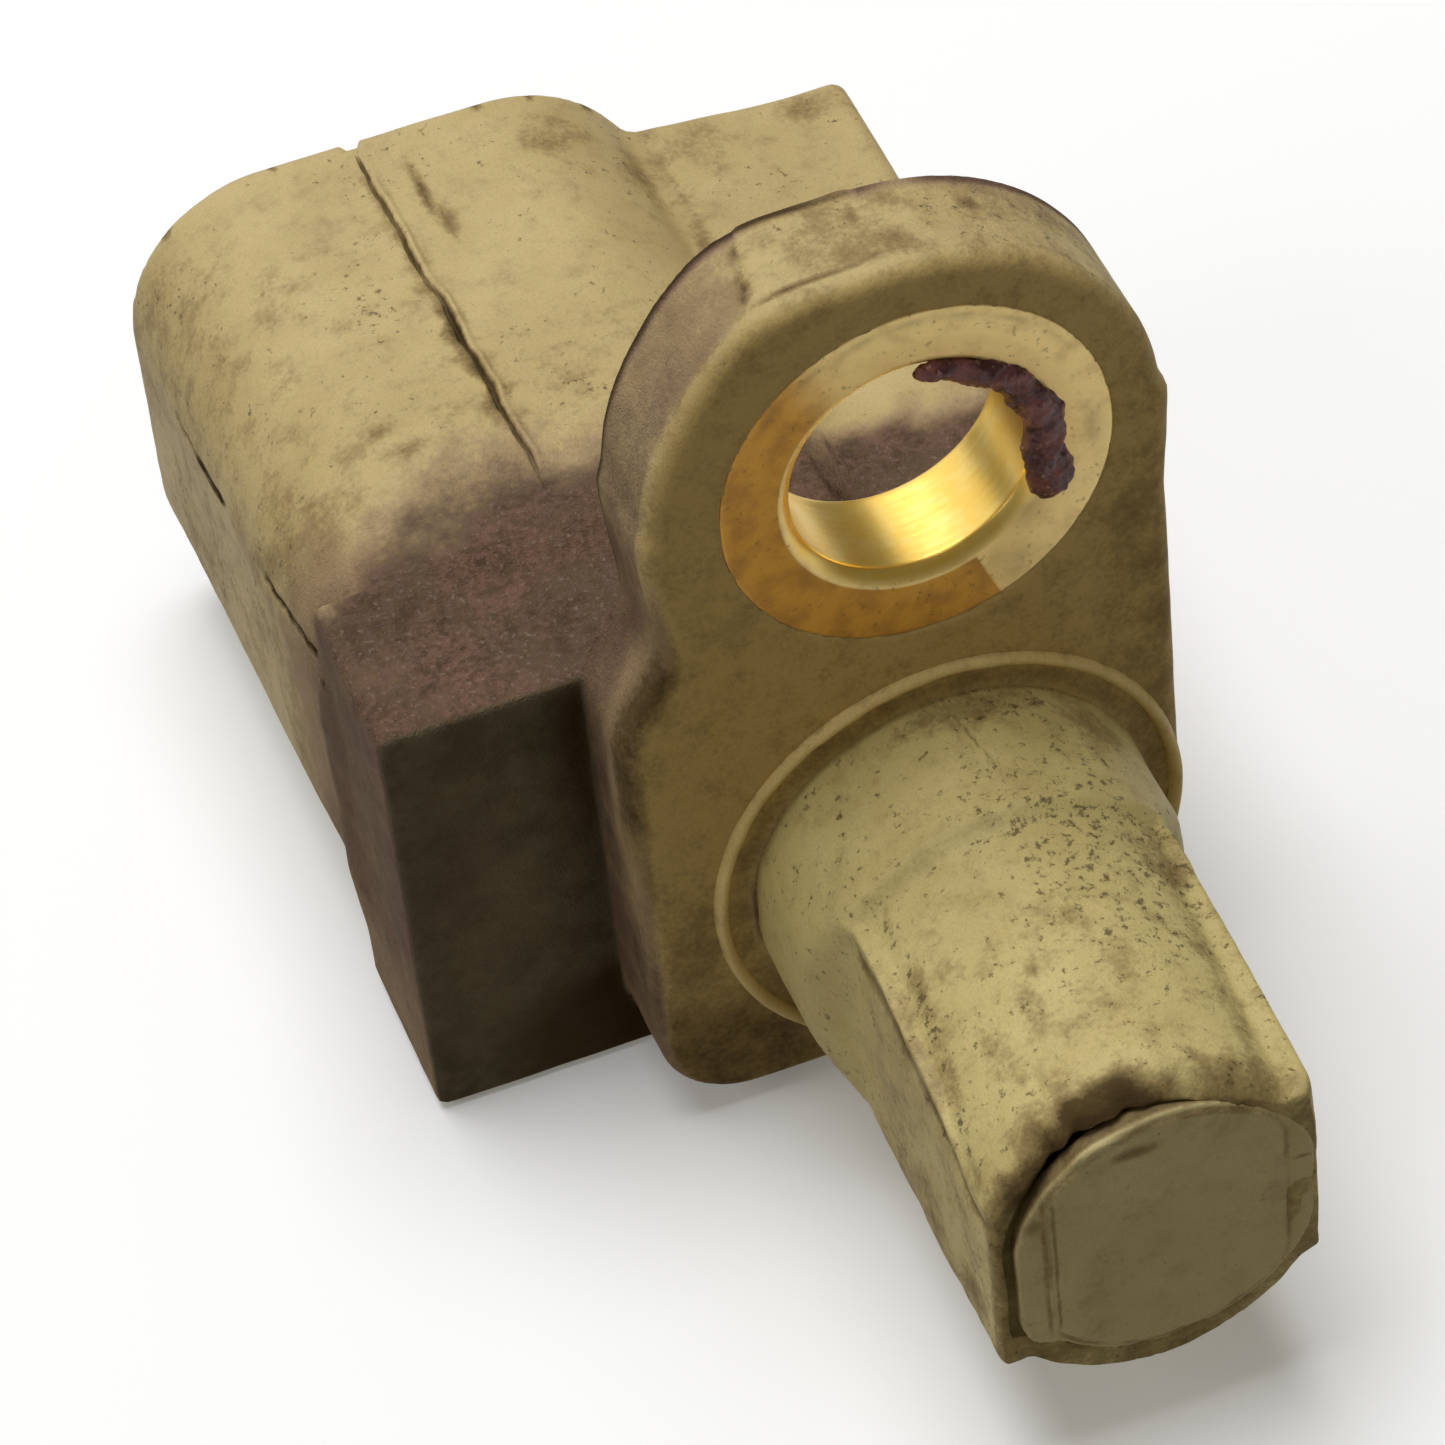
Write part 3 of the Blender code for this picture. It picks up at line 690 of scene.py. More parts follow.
def housing_masks(points, normals):
    x, y, z = place = points.T
    up, front = maximum(normals[:, 2], 0), maximum(-normals[:, 1], 0)
    left, right = ramp(-normals[:, 0], 0.3, 0.8), ramp(normals[:, 0], 0.3, 0.8)
    rough = waves(x, y, z, 4.5, 31) * 0.9 + waves(x, y, z, 1.4, 32) * 0.35
    behind = ramp(y, 2.6, 3.2)
    rim = ramp(y, 0.25, 0.75) * ramp(y, 3.55, 3.25) * ramp(z, -10, -8)
    patch = maximum(rim_patch(x, y, z), 0.6 * rim * near((x, z), (1.1, 6.3), (0.8, 2)))
    front_edge = ramp(flange_outline(x, z), -0.7, 0) * (y > -0.2) * ramp(y + 0.2 * rough, 2.3, 0.6)
    front_edge = front_edge * ramp(x, -5.2, -6.2) * ramp(z, -1, -4.5) * ramp(z, -15, -7.5)

    # brake dust: on the ledge and the front of the shroud and side block, and on the ear's left rim
    reach = where(x > 0.9, 11.9, interp(x, (-13, -12.4, -10.9, -8.8), (9.8, 10.5, 12.3, 13.2)))
    blur = where(x > 0.9, 2.2, interp(x, (-13, -9), (2.8, 5)))
    falloff = ramp(y + 0.3 * rough * minimum(blur, 2), reach, reach - blur)
    sheltered = maximum(ramp(x, -9, -10), ramp(z, 0.5, -3)) * ramp(y, 14.5, 7) * ramp(z, -24, -14)
    rim_left = rim * ramp(x, -2.6, -4.2)
    lower_rim = ramp(y, 0.5, 1.1) * ramp(y, 3.6, 3.3) * ramp(x, -7, -7.6) * ramp(z, -18.5, -15)
    dust = highest(
        falloff * behind * ramp(z, -13, -7.5) * (0.4 + 0.6 * ramp(up, 0, 0.5)),
        0.82 * ramp(-normals[:, 0], 0.2, 0.8) * sheltered,
        0.8 * falloff * behind * right * ramp(z, -8.8, -8.2),
        0.4 * near(place, (-13.2, 15.2, -9.4), (1.2, 1.3, 1.2)),
        0.72 * near(place, (-7.4, 1.8, -4.5), (1.4, 1.6, 3)),
        (0.34 + 0.42 * ramp(z, 5, 1) + 0.12 * rough) * rim_left,
        (0.16 + 0.1 * rough) * rim * ramp(x, 0.8, 2.6),
        (0.74 + 0.12 * rough) * lower_rim)
    dust = dust * (1 - 0.8 * front_edge) * (1 - 0.8 * patch)

    # soot and painted shade on the front block's face, less at its middle
    soot = (1 - ramp(y, 3, 3.3)) * ramp(x, -6.6, -7.7) * ramp(front, 0.25, 0.7) * (y > 2)
    soot = soot * (0.97 - 0.5 * near(place, (-11.1, 3, -12.3), (2.5, 3, 5.2)) - 0.08 * rough)

    # outline of dirt round the rubbed patch on the ear's rim
    outline = rim_patch(x + 0.14, y, z) + rim_patch(x - 0.14, y, z) + rim_patch(x, y + 0.14, z)
    outline = clip(outline - 3 * rim_patch(x, y, z), 0, 1)
    outline = maximum(outline, 0.6 * bell(x - 0.03, 0.07) * (y > 0.6) * (z > 5))

    # grime and painted shade: grime in valleys, on edges and wherever hands and mud reached; painted shade
    # on the ear's face towards its lower right, and in the groove round the probe's base
    off, width = x - seam_path(y), seam_width(y)
    beside = bell(off + 0.05, 0.27 + 0.17 * waves(x, y, z, 1.1, 33)) * (z > -6.6)
    beside = beside * (1 - 0.9 * bell(off - width - 0.15, 0.08))
    worn = (1 - 0.22 * patch) * (1 - 0.5 * ramp(x, 0.5, 3))
    from_bore = hypot(x, z)
    back_edge = ramp(y, 2.85, 3.15) * ramp(y, 3.7, 3.4) * ramp(x, 2.5, -0.5) * (z > -4)
    around_base = abs(hypot(x, z - PROBE_Z) - 5.6)
    face = front * ramp(y, 0.9, 0.5)
    low_left = ramp(z + 0.3 * rough, -13, -17.5) * ramp(x, 0, -5.5) * (y < 3.2) * (y > -0.1)
    edge_band = ramp(y, 0.5, 1.5) * ramp(y, 3.5, 3.2) * ramp(x, -5.6, -6.8) * ramp(z, 1.5, -1)
    grime = highest(
        spots(place, HOUSING_SPOTS),
        0.56 * near(place, (0.95, 18, -8), (0.32, 8, 0.5)) * (1 + 0.5 * rough),
        (0.85 + 0.25 * rough) * beside * ramp(y, 9.5, 12) * ramp(y, 17.8, 16.8),
        0.4 * beside * ramp(y, 8.5, 10) * ramp(y, 23.5, 22.5),
        0.4 * falloff * (1 - falloff) * behind * (z > -8) * (x < 0.9),
        0.16 * ramp(y, 18, 12) * (z > -8),
        spots((x, y), BACK_CHIPS) * (z > -9.5) * ramp(up, 0.2, 0.6),
        left * (0.16 + 0.56 * ramp(y, 15, 8) + 0.08 * rough) * (x < -9),
        0.46 * rim * ramp(z, -1, 4.5) * (0.75 + 0.6 * rough) * worn,
        0.95 * outline * rim,
        spots((x, y), RIM_SPOTS) * rim * (z > 4),
        0.8 * back_edge * ramp(from_bore, 5.8, 6.2),
        0.4 * ramp(z, BOTTOM + 2.5, BOTTOM) * behind,
        # painted shade: a dark band where the groove round the probe's base lies in shadow
        0.36 * ramp(around_base, 0.5, 0.1) * (abs(y) < 0.4),
        face * (0.03 + 0.06 * rough),
        # painted shade: the ear's face darker towards its right and its bottom
        0.4 * face * ramp(x + 0.15 * rough, 2.5, 6.2) * ramp(z, 1, -3),
        0.26 * face * ramp(x, 4.2, 6.2),
        0.13 * face * ramp(z, -4, -7),
        0.4 * face * near((x, z), (-6.9, -13.6), (1.5, 3.6)),
        (0.95 + 0.15 * rough) * front_edge,
        0.72 * low_left,
        (0.42 + 0.3 * waves(x, y, z, 2.2, 34)) * edge_band)

    # cracks: the parting crack, the slits and behind the ear; painted shade in the corners of the front
    # block's face, beside the flange and along its bottom
    crack = ramp(abs(off), width + 0.055, width + 0.01) * ramp(width, 0.002, 0.02)
    crack = crack * (z > -6.6) * (y > 8) * (z < -5.2)
    slit_half = where(y > 15, 0.07 + 0.09 * ramp(y, 19.6, 18), 0.1)
    slit = ramp(abs(z - slit_z(y)), slit_half + 0.05, slit_half - 0.03) * slit_open(y) * (x < -12.8)
    # corners of the front block's face where painted shade is laid, beside the flange and along the bottom
    corner = near((x, z), (-7.7, -18.6), (2, 2)) + near((x, z), (-8, -8), (1.2, 3))
    corner = corner + ramp(z, -15.2, -17.4) * ramp(x, -12.2, -9.4)
    corner = corner + 0.75 * near((x, z), (-7.7, -12), (1.3, 6))
    behind_ear = ramp(y, 3.02, 3.16) * ramp(y, 3.6, 3.4) * ramp(x, 1, -1.5) * ramp(z, -3.5, -2.5)
    crack = highest(
        (0.66 + 0.12 * sin(1.7 * y)) * (0.55 + 0.45 * ramp(y, 9, 13)) * crack,
        slit * (y > 7),
        soot * minimum(0.95 * corner, 0.94),
        0.85 * behind_ear * ramp(from_bore, 6.3, 6.6))
    speck = 0.42 - 0.3 * dust + 0.25 * rough * (y > 12) + left * (x < -12) * (0.2 + 0.8 * ramp(y, 11, 6))
    speck = where(face > 0.3, 0.12, speck + 0.35 * rim * ramp(x, 0.5, 2))
    return plastic_masks(points, dust=dust, grime=grime, crack=crack, speck=speck, soot=soot, amber=face)


def mesh_normals(points, faces):
    a, b, c, d = (points[faces[:, i]] for i in range(4))
    face_normals = np.cross(c - a, d - b)
    total = np.zeros_like(points)
    for i in range(4):
        np.add.at(total, faces[:, i], face_normals)
    return total / maximum(np.linalg.norm(total, axis=1, keepdims=True), 1e-12)


# Pieces

def build_housing(finish):
    """The overmould round everything, except the probe's sleeve and the crush ring."""
    cell, fine = ((0.22, 0.07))
    axes = (axis_values(LEFT, RIGHT, cell, [(SEAM_X - 0.45, SEAM_X + 0.5, 0.6 * fine)]),
            axis_values(-BASE_LENGTH, BACK, cell, [(-0.1, 0.9, 2 * fine), (2.96, 3.38, fine)]),
            axis_values(BOTTOM, EAR_R + SHOULDER, cell, [(-10.3, -8.3, 1.6 * fine)]))
    points, faces = surface_net(housing_field, axes)
    masks = housing_masks(points, mesh_normals(points, faces))
    mesh_piece("housing_overmould", points, faces, finish, masks, ["sensor_housing"])


def probe_outline(angle, y):
    """Radius of the probe: a tapering circle with a flat on each side, whose edges stand proud."""
    share = clip((y + BASE_LENGTH) / (SKIN_END + BASE_LENGTH), 0, 1)
    radius = BODY_R + (TIP_R - BODY_R) * share + (BASE_R - BODY_R) * ramp(y, -4.75, -4.1)
    radius = radius + 0.03 * bell(y + 4.2, 0.09)
    side, height = cos(angle), sin(angle)
    half = 5.4 - (5.4 - FLAT_HALF) * ramp(y, -2.6, -4.7)
    upper_left = interp(-y, *UPPER_LEFT_EDGE)
    upper_right = interp(-y, (6, 13), (3.3, 3.1))
    lower_left = interp(-y, (4, 9, 13), (3, 3.2, 3.05))
    lower_right = interp(-y, (4, 13), (2.9, 2.5))
    edge = where(height > 0, where(side < 0, upper_left, upper_right),
                 where(side < 0, lower_left, lower_right))
    proud = edge / maximum(abs(height), 1e-3) - radius
    ready = ramp(y, -3.8, -5.2)
    blend = where((side > 0) & (height < 0), 0.8, 0.1)
    proud = clip(-join(-proud, 0 * proud, blend), 0, 0.5 * ready)
    groove = 0.09 * bell(height * radius - edge + 0.5, 0.2) * ready * (side < 0)
    return join(radius + proud, half / maximum(abs(side), 1e-3), 0.1 + 0.5 * (1 - ready)) - groove


def sleeve_radius(angle, radius, half, soft=0.18):
    """Radius of the flatted outline at an angle."""
    return join(radius + 0 * angle, half / maximum(abs(cos(angle)), 1e-3), soft)


def cap_radius(degrees):
    """Radius of the end cap: low on the left its flat runs on down to the probe's corner."""
    return CAP_R + 0.36 * ramp(degrees, 160, 185) * ramp(degrees, 228, 214)


def skin_end(angle):
    """How far the thin skin at the probe's end reaches: chipped away at the upper left."""
    degrees = np.degrees(angle) % 360
    broken = bell(degrees - 112, 24)
    ragged = 0.1 * sin(9 * angle + 0.6) + 0.06 * sin(23 * angle) + 0.05 * sin(37 * angle + 2)
    whole = 1 - ramp(degrees, 58, 76) * ramp(degrees, 222, 210) * (1 - 0.65 * ramp(degrees, 150, 175))
    return SKIN_END - 0.12 - 0.13 * whole + broken * (0.34 + ragged) + 0.015 * sin(5 * angle)


def build_sleeve(finish):
    """Probe sleeve: tapering body with two flats, hollow for the insert, a thin skin at its end."""
    columns, rows = ((440, 120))
    angle = round_angles(columns)
    degrees = np.degrees(angle)
    end = skin_end(angle)
    cap_side = ramp(degrees, 62, 80) * ramp(degrees, 218, 208)
    crack = 0.06 + 0.06 * bell(degrees - 125, 35) + 0.02 * sin(11 * angle)
    bore = sleeve_radius(angle, INSERT_R + GAP, INSERT_HALF + GAP)
    pocket = sleeve_radius(angle, cap_radius(degrees), CAP_HALF) + crack
    pocket = pocket * cap_side + (sleeve_radius(angle, PAD_R, PAD_HALF) + 0.03) * (1 - cap_side)
    loops = [(bore, SLEEVE_BACK + 0 * angle), (bore, end + 0.3), (0.5 * bore + 0.5 * pocket, end + 0.28),
             (pocket, end + 0.13), (pocket + 0.01, end + 0.03), (pocket + 0.04, end)]
    worn = 0.12 + 0.36 * ramp(sin(angle), 0.35, 0.85)
    reach = 0.3 + 0.8 * ramp(sin(angle), 0.35, 0.85)
    for i in range(rows + 1):
        share = 1 - i / rows
        y = SLEEVE_BACK + (end - SLEEVE_BACK + 0.02) * (1 - (1 - share) ** 1.15)
        outside = probe_outline(angle, y)
        outside = outside - worn * clip((end + reach - y) / reach, 0, 1) ** 2.4
        px, pz = outside * cos(angle), outside * sin(angle)
        outside = outside + 0.022 * waves(px, y, pz, 3.0, 41) + 0.012 * waves(px, y, pz, 0.9, 42)
        chips = 0.06 * maximum(waves(px, y, pz, 0.5, 43) - 0.7, 0) * ramp(y, -12.4, -13.3)
        loops.append((maximum(outside - chips, pocket + 0.05 if share > 0.9 else bore), y))
    lean = np.concatenate([PROBE_LEAN * clip(-y / 13, 0, 1) for _, y in loops])
    points, faces = turned(loops, columns, PROBE_Z, lean)
    inner = np.repeat(np.arange(len(loops)) < 5, columns)
    mesh_piece("probe_sleeve", points, faces, finish, sleeve_masks(points, inner))


SLEEVE_SPOTS = (
    ((-1.6, -9.6, 4.3), (0.6, 1.6, 1.5), 0.26), ((-1.2, -8.8, 4.6), (0.3, 0.5, 1), 0.46),
    ((-0.3, -10.6, 4.5), (1.2, 1.5, 1.5), 0.24), ((0.6, -9.9, 4.6), (0.6, 1.4, 1.5), 0.24),
    ((0.2, -8.4, 4.7), (1.7, 2.4, 1.5), 0.17), ((2.2, -10.6, 4), (1.2, 1.6, 1.5), 0.16),
    ((-2.6, -10.6, 3.8), (0.6, 1.8, 1.2), 0.3), ((3.4, -6, 3.6), (1.2, 1.6, 2), 0.46),
    ((2.2, -6.4, 4.4), (1.4, 1, 1.5), 0.26), ((0.6, -0.7, 5), (2.2, 0.7, 1.5), 0.52),
    ((3.4, -1.2, 4), (1.6, 1.4, 1.5), 0.45), ((-3.7, -13, 1.8), (0.5, 0.6, 0.8), 0.6),
    ((-4.2, -11.8, -2.2), (0.5, 1.3, 1.2), 0.5))
SLEEVE_SPECKS = (((3.4, -8, 3.6), (0.8, 4, 1.2), 1), ((1.4, -0.8, 5), (3, 0.9, 2), 1.1))


def sleeve_masks(points, inner):
    x, y, z = place = points[:, 0], points[:, 1], points[:, 2] - PROBE_Z
    rough = waves(x, y, z, 2.4, 51) + 0.5 * waves(x, y, z, 0.9, 52)
    angle = np.arctan2(z, x)
    degrees = np.degrees(angle)
    from_end = y - skin_end(angle)
    band = np.exp(-((degrees - 118) / 36) ** 4)
    valley = interp(-y, *UPPER_LEFT_EDGE)
    along = ramp(y, -4.3, -5.4)
    above = bell(z - valley - 0.32, 0.24) * along * (x < -2)
    below = bell(z - valley + 0.58, 0.24) * along * (x < -3.7)
    hairline = bell(x - 0.02 * z + 0.05 - 0.17 * maximum(-y - 0.6, 0), 0.05) * ramp(y, -3.2, -2.6)
    flat = (x < -3.8) * ramp(y, -5, -7)
    grime = highest(
        1.15 * band * ramp(from_end + 0.2 * rough, 1.15, 0.2),
        0.4 * band * ramp(from_end + 0.3 * rough, 1.9, 0.4),
        0.72 * bell(degrees - 60, 22) * ramp(from_end + 0.3 * rough, 1.8, 0.1),
        spots(place, SLEEVE_SPOTS) * (1 + 0.25 * rough),
        0.26 * above * (1 + 0.5 * rough),
        0.6 * below * (1 + 0.25 * rough),
        0.36 * bell(z - 3.55, 0.3) * ramp(y, -5, -6) * (x > 2.6),
        0.11 * ramp(y, -5.5, -7.5) * ramp(z, 2, 3.2),
        0.5 * hairline * (z > 4),
        flat * (0.16 + 0.1 * rough + 0.16 * ramp(z, -0.5, -3)),
        0.55 * ramp(x, -3.8, -3.95) * ramp(y, -12.9, -13.4),
        ramp(from_end, 0.08, 0.03) * (0.4 + 0.16 * rough))
    filled = 0.72 - 0.27 * ramp(degrees % 360, 140, 165)
    deep = bell(degrees - 97, 9) + 0.8 * bell(degrees - 146, 9)
    edge = maximum(0.6 * band * ramp(from_end + 0.05 * rough, 0.2, 0.06),
                   0.65 * deep * ramp(from_end + 0.1 * rough, 0.6, 0.15))
    speck = highest(
        0.62 + 0.75 * near(place, (1.8, -5.8, 4.5), (3.4, 3, 3.5)),
        1.45 * above * ramp(y, -12.6, -11.4),
        spots(place, SLEEVE_SPECKS))
    speck = speck - 0.4 * near(place, (-1.5, -6.5, 4.6), (2, 1.6, 3))
    dust = 0.22 * ramp(x, -3.6, -4.1) * ramp(y, -12, -8) * ramp(y, -3.5, -6)
    return plastic_masks(points, dust=dust, grime=grime, crack=where(inner, filled, edge), speck=speck)


def build_crush_ring(finish):
    """Crush ring: thin raised bead round the probe's base, a little uneven."""
    columns = 320
    angle = round_angles(columns)
    tall = 0.26 + 0.02 * sin(7 * angle) + 0.015 * sin(19 * angle + 1) + 0.01 * sin(43 * angle)
    lean = 0.015 * sin(5 * angle + 2)
    profile = ((5.92, -0.1, 0), (5.96, 0.55, 1), (6.03, 0.88, 1), (6.11, 1.0, 1), (6.19, 0.86, 1),
               (6.25, 0.5, 1), (6.28, -0.1, 0))
    loops = [(r + lean * top, -tall * share) for r, share, top in profile]
    sunk = 0.8 + 0 * angle
    loops = [(5.9 + 0 * angle, sunk), *loops, (6.29 + 0 * angle, sunk)]
    points, faces = turned(loops, columns, PROBE_Z)
    x, y, z = points.T
    grime = 0.1 * waves(x, y, z, 2, 61) + 0.3 * ramp(y, -0.16, 0.02)
    masks = plastic_masks(points, speck=0.2, amber=0.05, grime=grime)
    mesh_piece("crush_ring", points, faces, finish, masks)


INSERT_SPOTS = (((-0.7, TIP, 3.1), (0.8, 1, 0.25), 0.66), ((-3.3, TIP, 1.6), (0.5, 1, 0.4), 0.5),
                ((3.5, TIP, 0.9), (0.35, 1, 0.06), 0.6))


def build_insert(finish):
    """Insert carrier, with its weathered end cap."""
    cell, fine = ((0.13, 0.07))
    sides = [(-PAD_HALF - 0.2, -PAD_HALF + 0.2, fine), (PAD_HALF - 0.2, PAD_HALF + 0.2, fine)]
    axes = (axis_values(INSERT_LOW.x, INSERT_HIGH.x, cell, sides),
            axis_values(TIP, INSERT_HIGH.y, cell, [(TIP, TIP + 0.5, fine)]),
            axis_values(INSERT_LOW.z, INSERT_HIGH.z, cell))
    points, faces = surface_net(insert_field, axes)
    x, y, z = place = points[:, 0], points[:, 1], points[:, 2] - PROBE_Z
    edge = flatted(x, points[:, 2], CAP_R, CAP_HALF)
    pad_edge = flatted(x, points[:, 2], PAD_R, PAD_HALF, 0.3)
    rough = waves(x, y, z, 2.6, 71) + 0.6 * waves(x, y, z, 1, 72)
    upper = ramp(z - 0.5 * x, 1, 3)
    lines = bell(x + 3.1, 0.06) + 0.8 * bell(x + 2.86, 0.05)
    grime = highest(
        0.05 + 0.06 * rough,
        0.7 * ramp(edge, -0.12, 0) * upper * ramp(y, CAP_FACE, CAP_FACE + 0.14),
        spots(place, INSERT_SPOTS),
        0.3 * near(place, (-1.8, TIP, -0.9), (0.9, 1, 1.2)) * (1 + 0.3 * rough),
        0.3 * ramp(abs(pad_edge), 0.14, 0.03) * (1 + 0.6 * rough),
        0.55 * lines * ramp(abs(z), 2.9, 2),
        (0.3 + 0.1 * rough) * ramp(pad_edge, 0.05, 0.3) * (z < 0) * (abs(x) < 3))
    masks = plastic_masks(points, grime=grime, crack=0.9 * (y > CAP_FACE + 0.5), speck=0.3)
    mesh_piece("insert_carrier_body", points, faces, finish, masks, ["insert_carrier"])


def build_bush(finish):
    """Brass bush: turned face with a shallow dish, chamfered mouth and a finely turned bore."""
    columns = 320
    end = BUSH_LENGTH
    front = [(BORE_R, 0.4), (BORE_R + 0.02, 0.36), (BORE_R + 0.16, 0.21), (3.42, 0.09), (3.5, 0.06)]
    face = [(3.55 + 0.13 * i, 0.012 + 0.04 * max(0, 1 - i / 4)) for i in range(11)]
    rim = [(4.93, 0.012), (4.97, 0.022), (4.99, 0.045), (BUSH_R, 0.09)]
    mirror = [(r, end - y) for r, y in reversed(front + face + rim)]
    turns = 24
    bore = [(BORE_R + 0.004 * math.sin(2.4 * i), end - 0.4 - (end - 0.8) * i / turns)
            for i in range(1, turns)]
    rows = front + face + rim + [(BUSH_R, 0.6), (BUSH_R, end - 0.6)] + mirror + bore
    points, faces = turned(rows, columns)
    x, y, z = points.T
    radius, angle = hypot(x, z), np.arctan2(z, x)
    on_face = maximum(ramp(y, 0.14, 0.05), ramp(y, end - 0.14, end - 0.05)) * ramp(radius, 3.2, 3.32)
    upper = sin(angle + math.radians(68)) * radius
    side = where(x < 0, ramp(upper, 0.7, -2.3), ramp(upper, 0.08, -0.08)) * ramp(radius, 3.47, 3.55)
    arcs = bell(radius - 4.72 - 0.04 * sin(4 * z), 0.1) * ramp(z, 2, 3.2)
    stains = 0.4 * arcs * (0.6 + 0.4 * sin(5 * x + 1)) + 0.3 * near((x, z), (4.5, -0.2), (0.3, 0.8))
    stains = on_face * (stains + 0.4 * near((x, z), (2.5, -2.2), (0.6, 0.6)))
    masks = {"film": on_face, "orange": side,
             "imprint": ramp(radius, 4.2, 4.1) * ramp(upper, 0.2, 0.6) * on_face,
             "grime": maximum(0.25 * near((x, y, z), (2.3, 0, -3.7), (1, 1, 0.6)), stains)}
    mesh_piece("bush_turned", points, faces, finish, masks, ["compression_bush"])


GREASE_DEGREES = (-28, -22, -16, -9, -1, 8, 17, 26, 35, 44, 53, 62, 70, 77, 84)
GREASE_RADII = (3.62, 3.55, 3.45, 3.3, 3.32, 3.3, 3.28, 3.25, 3.2, 3.16, 3.1, 3.05, 3, 3.02, 3.05)
GREASE_SIZES = (0.46, 0.58, 0.56, 0.52, 0.5, 0.5, 0.5, 0.46, 0.42, 0.4, 0.36, 0.33, 0.3, 0.26, 0.2)


def grease_field(x, y, z):
    """Three lumpy strands, twisted along the bore's mouth and run into each other."""
    total = np.full(np.shape(x), 9.0)
    for strand in range(3):
        for degrees in np.arange(-28, 85, 2.8):
            size = interp(degrees, GREASE_DEGREES, GREASE_SIZES)
            twist = math.radians(6.5 * degrees + 120 * strand + 40 * math.sin(0.12 * degrees))
            radius = interp(degrees, GREASE_DEGREES, GREASE_RADII) + 0.4 * size * math.cos(twist)
            depth = 0.13 + 0.3 * size * math.sin(twist)
            a = math.radians(degrees)
            across = hypot(x - radius * math.cos(a), z - radius * math.sin(a))
            thick = size * (0.64 + 0.1 * math.sin(0.31 * degrees + 2 * strand))
            total = join(total, hypot(across, (y - depth) * 1.4) - thick, 0.14)
    return total + 0.03 * waves(x, y, z, 0.5, 81) + 0.02 * waves(x, y, z, 0.25, 82)


def build_grease(finish):
    """Smear of dried grease that a bolt left on the bore's mouth."""
    cell = 0.055
    axes = (axis_values(-0.3, 4.5, cell), axis_values(-0.45, 0.7, cell), axis_values(-2.7, 3.8, cell))
    points, faces = surface_net(grease_field, axes)
    mesh_piece("grease_smear", points, faces, finish)


def dress_inner_pieces():
    """Procedural finishes and broken edges for the pieces kept from the frame."""
    finishes = {
        "sensing_chip": moulded("chip_package", (0.012, 0.012, 0.014), (0.03, 0.03, 0.033), 0.45, 9000),
        "bias_magnet": moulded("magnet_ferrite", (0.05, 0.05, 0.055), (0.11, 0.11, 0.12), 0.5, 7000),
        "filter_capacitor": moulded("capacitor_body", (0.20, 0.10, 0.03), (0.34, 0.19, 0.07), 0.4, 6000),
        "terminal_comb": moulded("comb_plastic", (0.018, 0.017, 0.016), (0.045, 0.043, 0.04), 0.45, 5000),
        "chip_lead_supply": tinned("lead_tinned", (5000, 300, 5000)),
        "terminal_supply": tinned("terminal_tinned", (5000, 300, 5000))}
    finishes["chip_lead_signal"] = finishes["chip_lead_supply"]
    finishes["terminal_signal"] = finishes["terminal_supply"]
    for node, finish in finishes.items():
        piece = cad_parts[node]
        piece.data.materials.clear()
        piece.data.materials.append(finish)
        if node.startswith("terminal"):
            edge = piece.modifiers.new("broken_edges", "BEVEL")
            edge.width = 0.00008
            edge.segments = 2
            edge.limit_method = "ANGLE"


# Stage

LIGHT_TARGET = Vector((0, 0, 0.012))


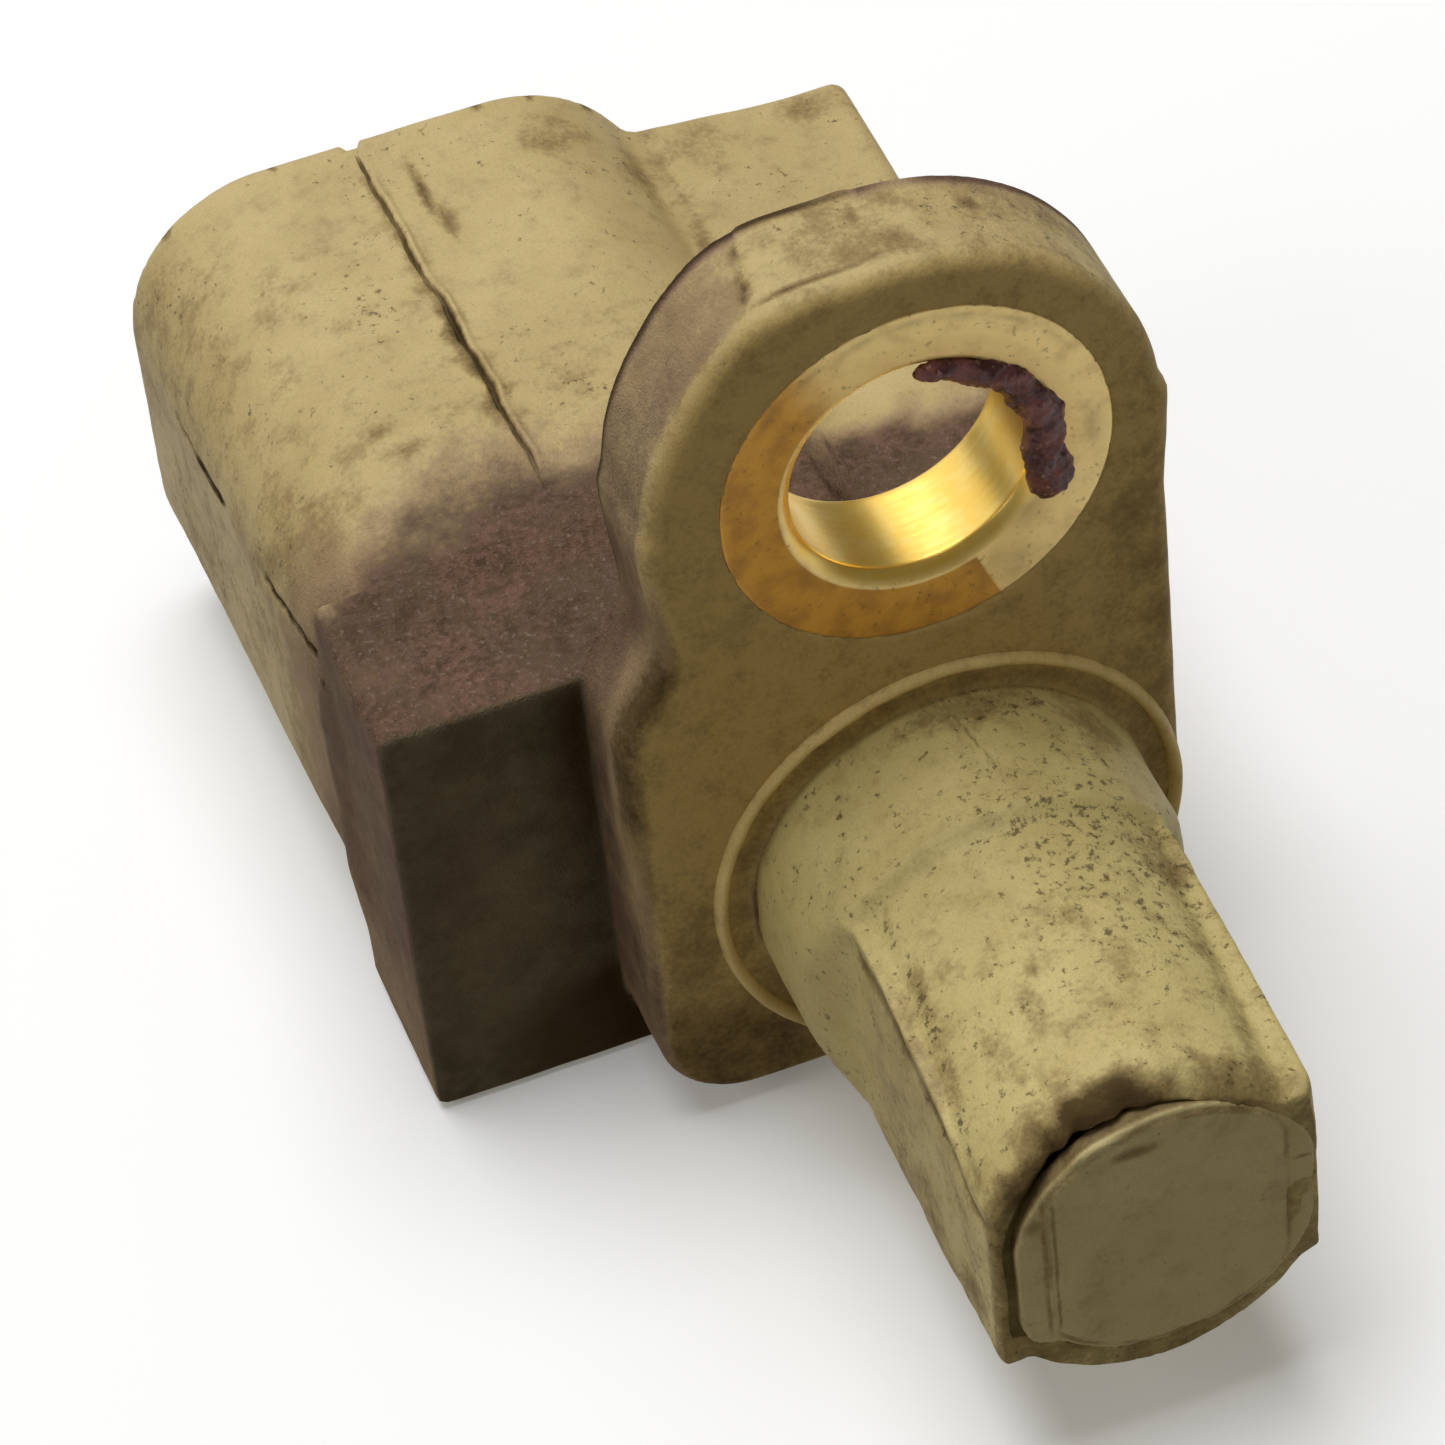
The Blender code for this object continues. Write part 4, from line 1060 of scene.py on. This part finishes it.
def build_floor():
    add = Finish("floor_paper")
    paper = add.surface(add.mix(add.noise(60), (0.95, 0.965, 0.99), (0.96, 0.975, 1.0)), 0.9,
                        {"Emission Color": (1.0, 1.0, 1.0), "Emission Strength": 0.12})
    size = 2.0
    mesh = bpy.data.meshes.new("floor")
    mesh.from_pydata([(-size, -size, 0), (size, -size, 0), (size, size, 0), (-size, size, 0)], [],
                     [(0, 1, 2, 3)])
    mesh.materials.append(paper)
    floor = add_object("floor", mesh)
    floor.location.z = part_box("sensor_housing")[0].z - 0.0001
    floor.visible_diffuse = False


def add_light(name, place, size, power):
    light = bpy.data.lights.new(name, "AREA")
    light.shape = "DISK"
    light.size = size
    light.energy = power
    made = add_object(name, light)
    made.location = place
    made.rotation_euler = (LIGHT_TARGET - made.location).to_track_quat("-Z", "Y").to_euler()
    return made


def build_lights():
    """Broad soft light from above and behind, a weak fill from the left, a card behind that adds only
    reflections, a pale room.
    """
    add_light("top", (-0.03, 0.09, 0.42), 0.34, 1.4)
    add_light("left", (-0.4, 0.0, 0.22), 0.25, 0.28)
    add_light("card", (-0.08, 0.32, 0.29), 0.6, 1.0).visible_diffuse = False
    world = bpy.data.worlds.new("room")
    world.use_nodes = True
    room = world.node_tree.nodes["Background"].inputs
    room["Color"].default_value = (1.0, 0.93, 0.77, 1)
    room["Strength"].default_value = 0.2
    bpy.context.scene.world = world


def build_camera():
    place, target = Vector((-0.03265, -0.11337, 0.12505)), Vector((-0.00121, -0.00231, 0.01024))
    camera = add_object("camera", bpy.data.cameras.new("camera"))
    camera.data.angle = math.radians(12.525)
    camera.data.clip_start = 0.005
    aim = (target - place).to_track_quat("-Z", "Y").to_matrix().to_4x4()
    roll = Matrix.Rotation(math.radians(-6.78), 4, "Z")
    camera.matrix_world = Matrix.Translation(place) @ aim @ roll
    bpy.context.scene.camera = camera


bpy.context.scene.view_settings.view_transform = "Standard"
build_camera()
build_housing(plastic("housing_plastic"))
# the probe's plastic is paler and greener: partly its own tone, partly painted light that lifts its shaded
# base
build_sleeve(plastic("probe_plastic", tint=(1.11, 1.19, 1.12)))
# the crush ring's plastic is lightened well above the housing's: a painted highlight for the lit bead
build_crush_ring(plastic("ring_plastic_painted_highlight", tint=(1.45, 1.45, 1.4)))
build_insert(plastic("carrier_plastic", tint=(1.04, 1.12, 1.25), mottle=0.6))
build_bush(brass())
build_grease(grease())
dress_inner_pieces()
build_floor()
build_lights()
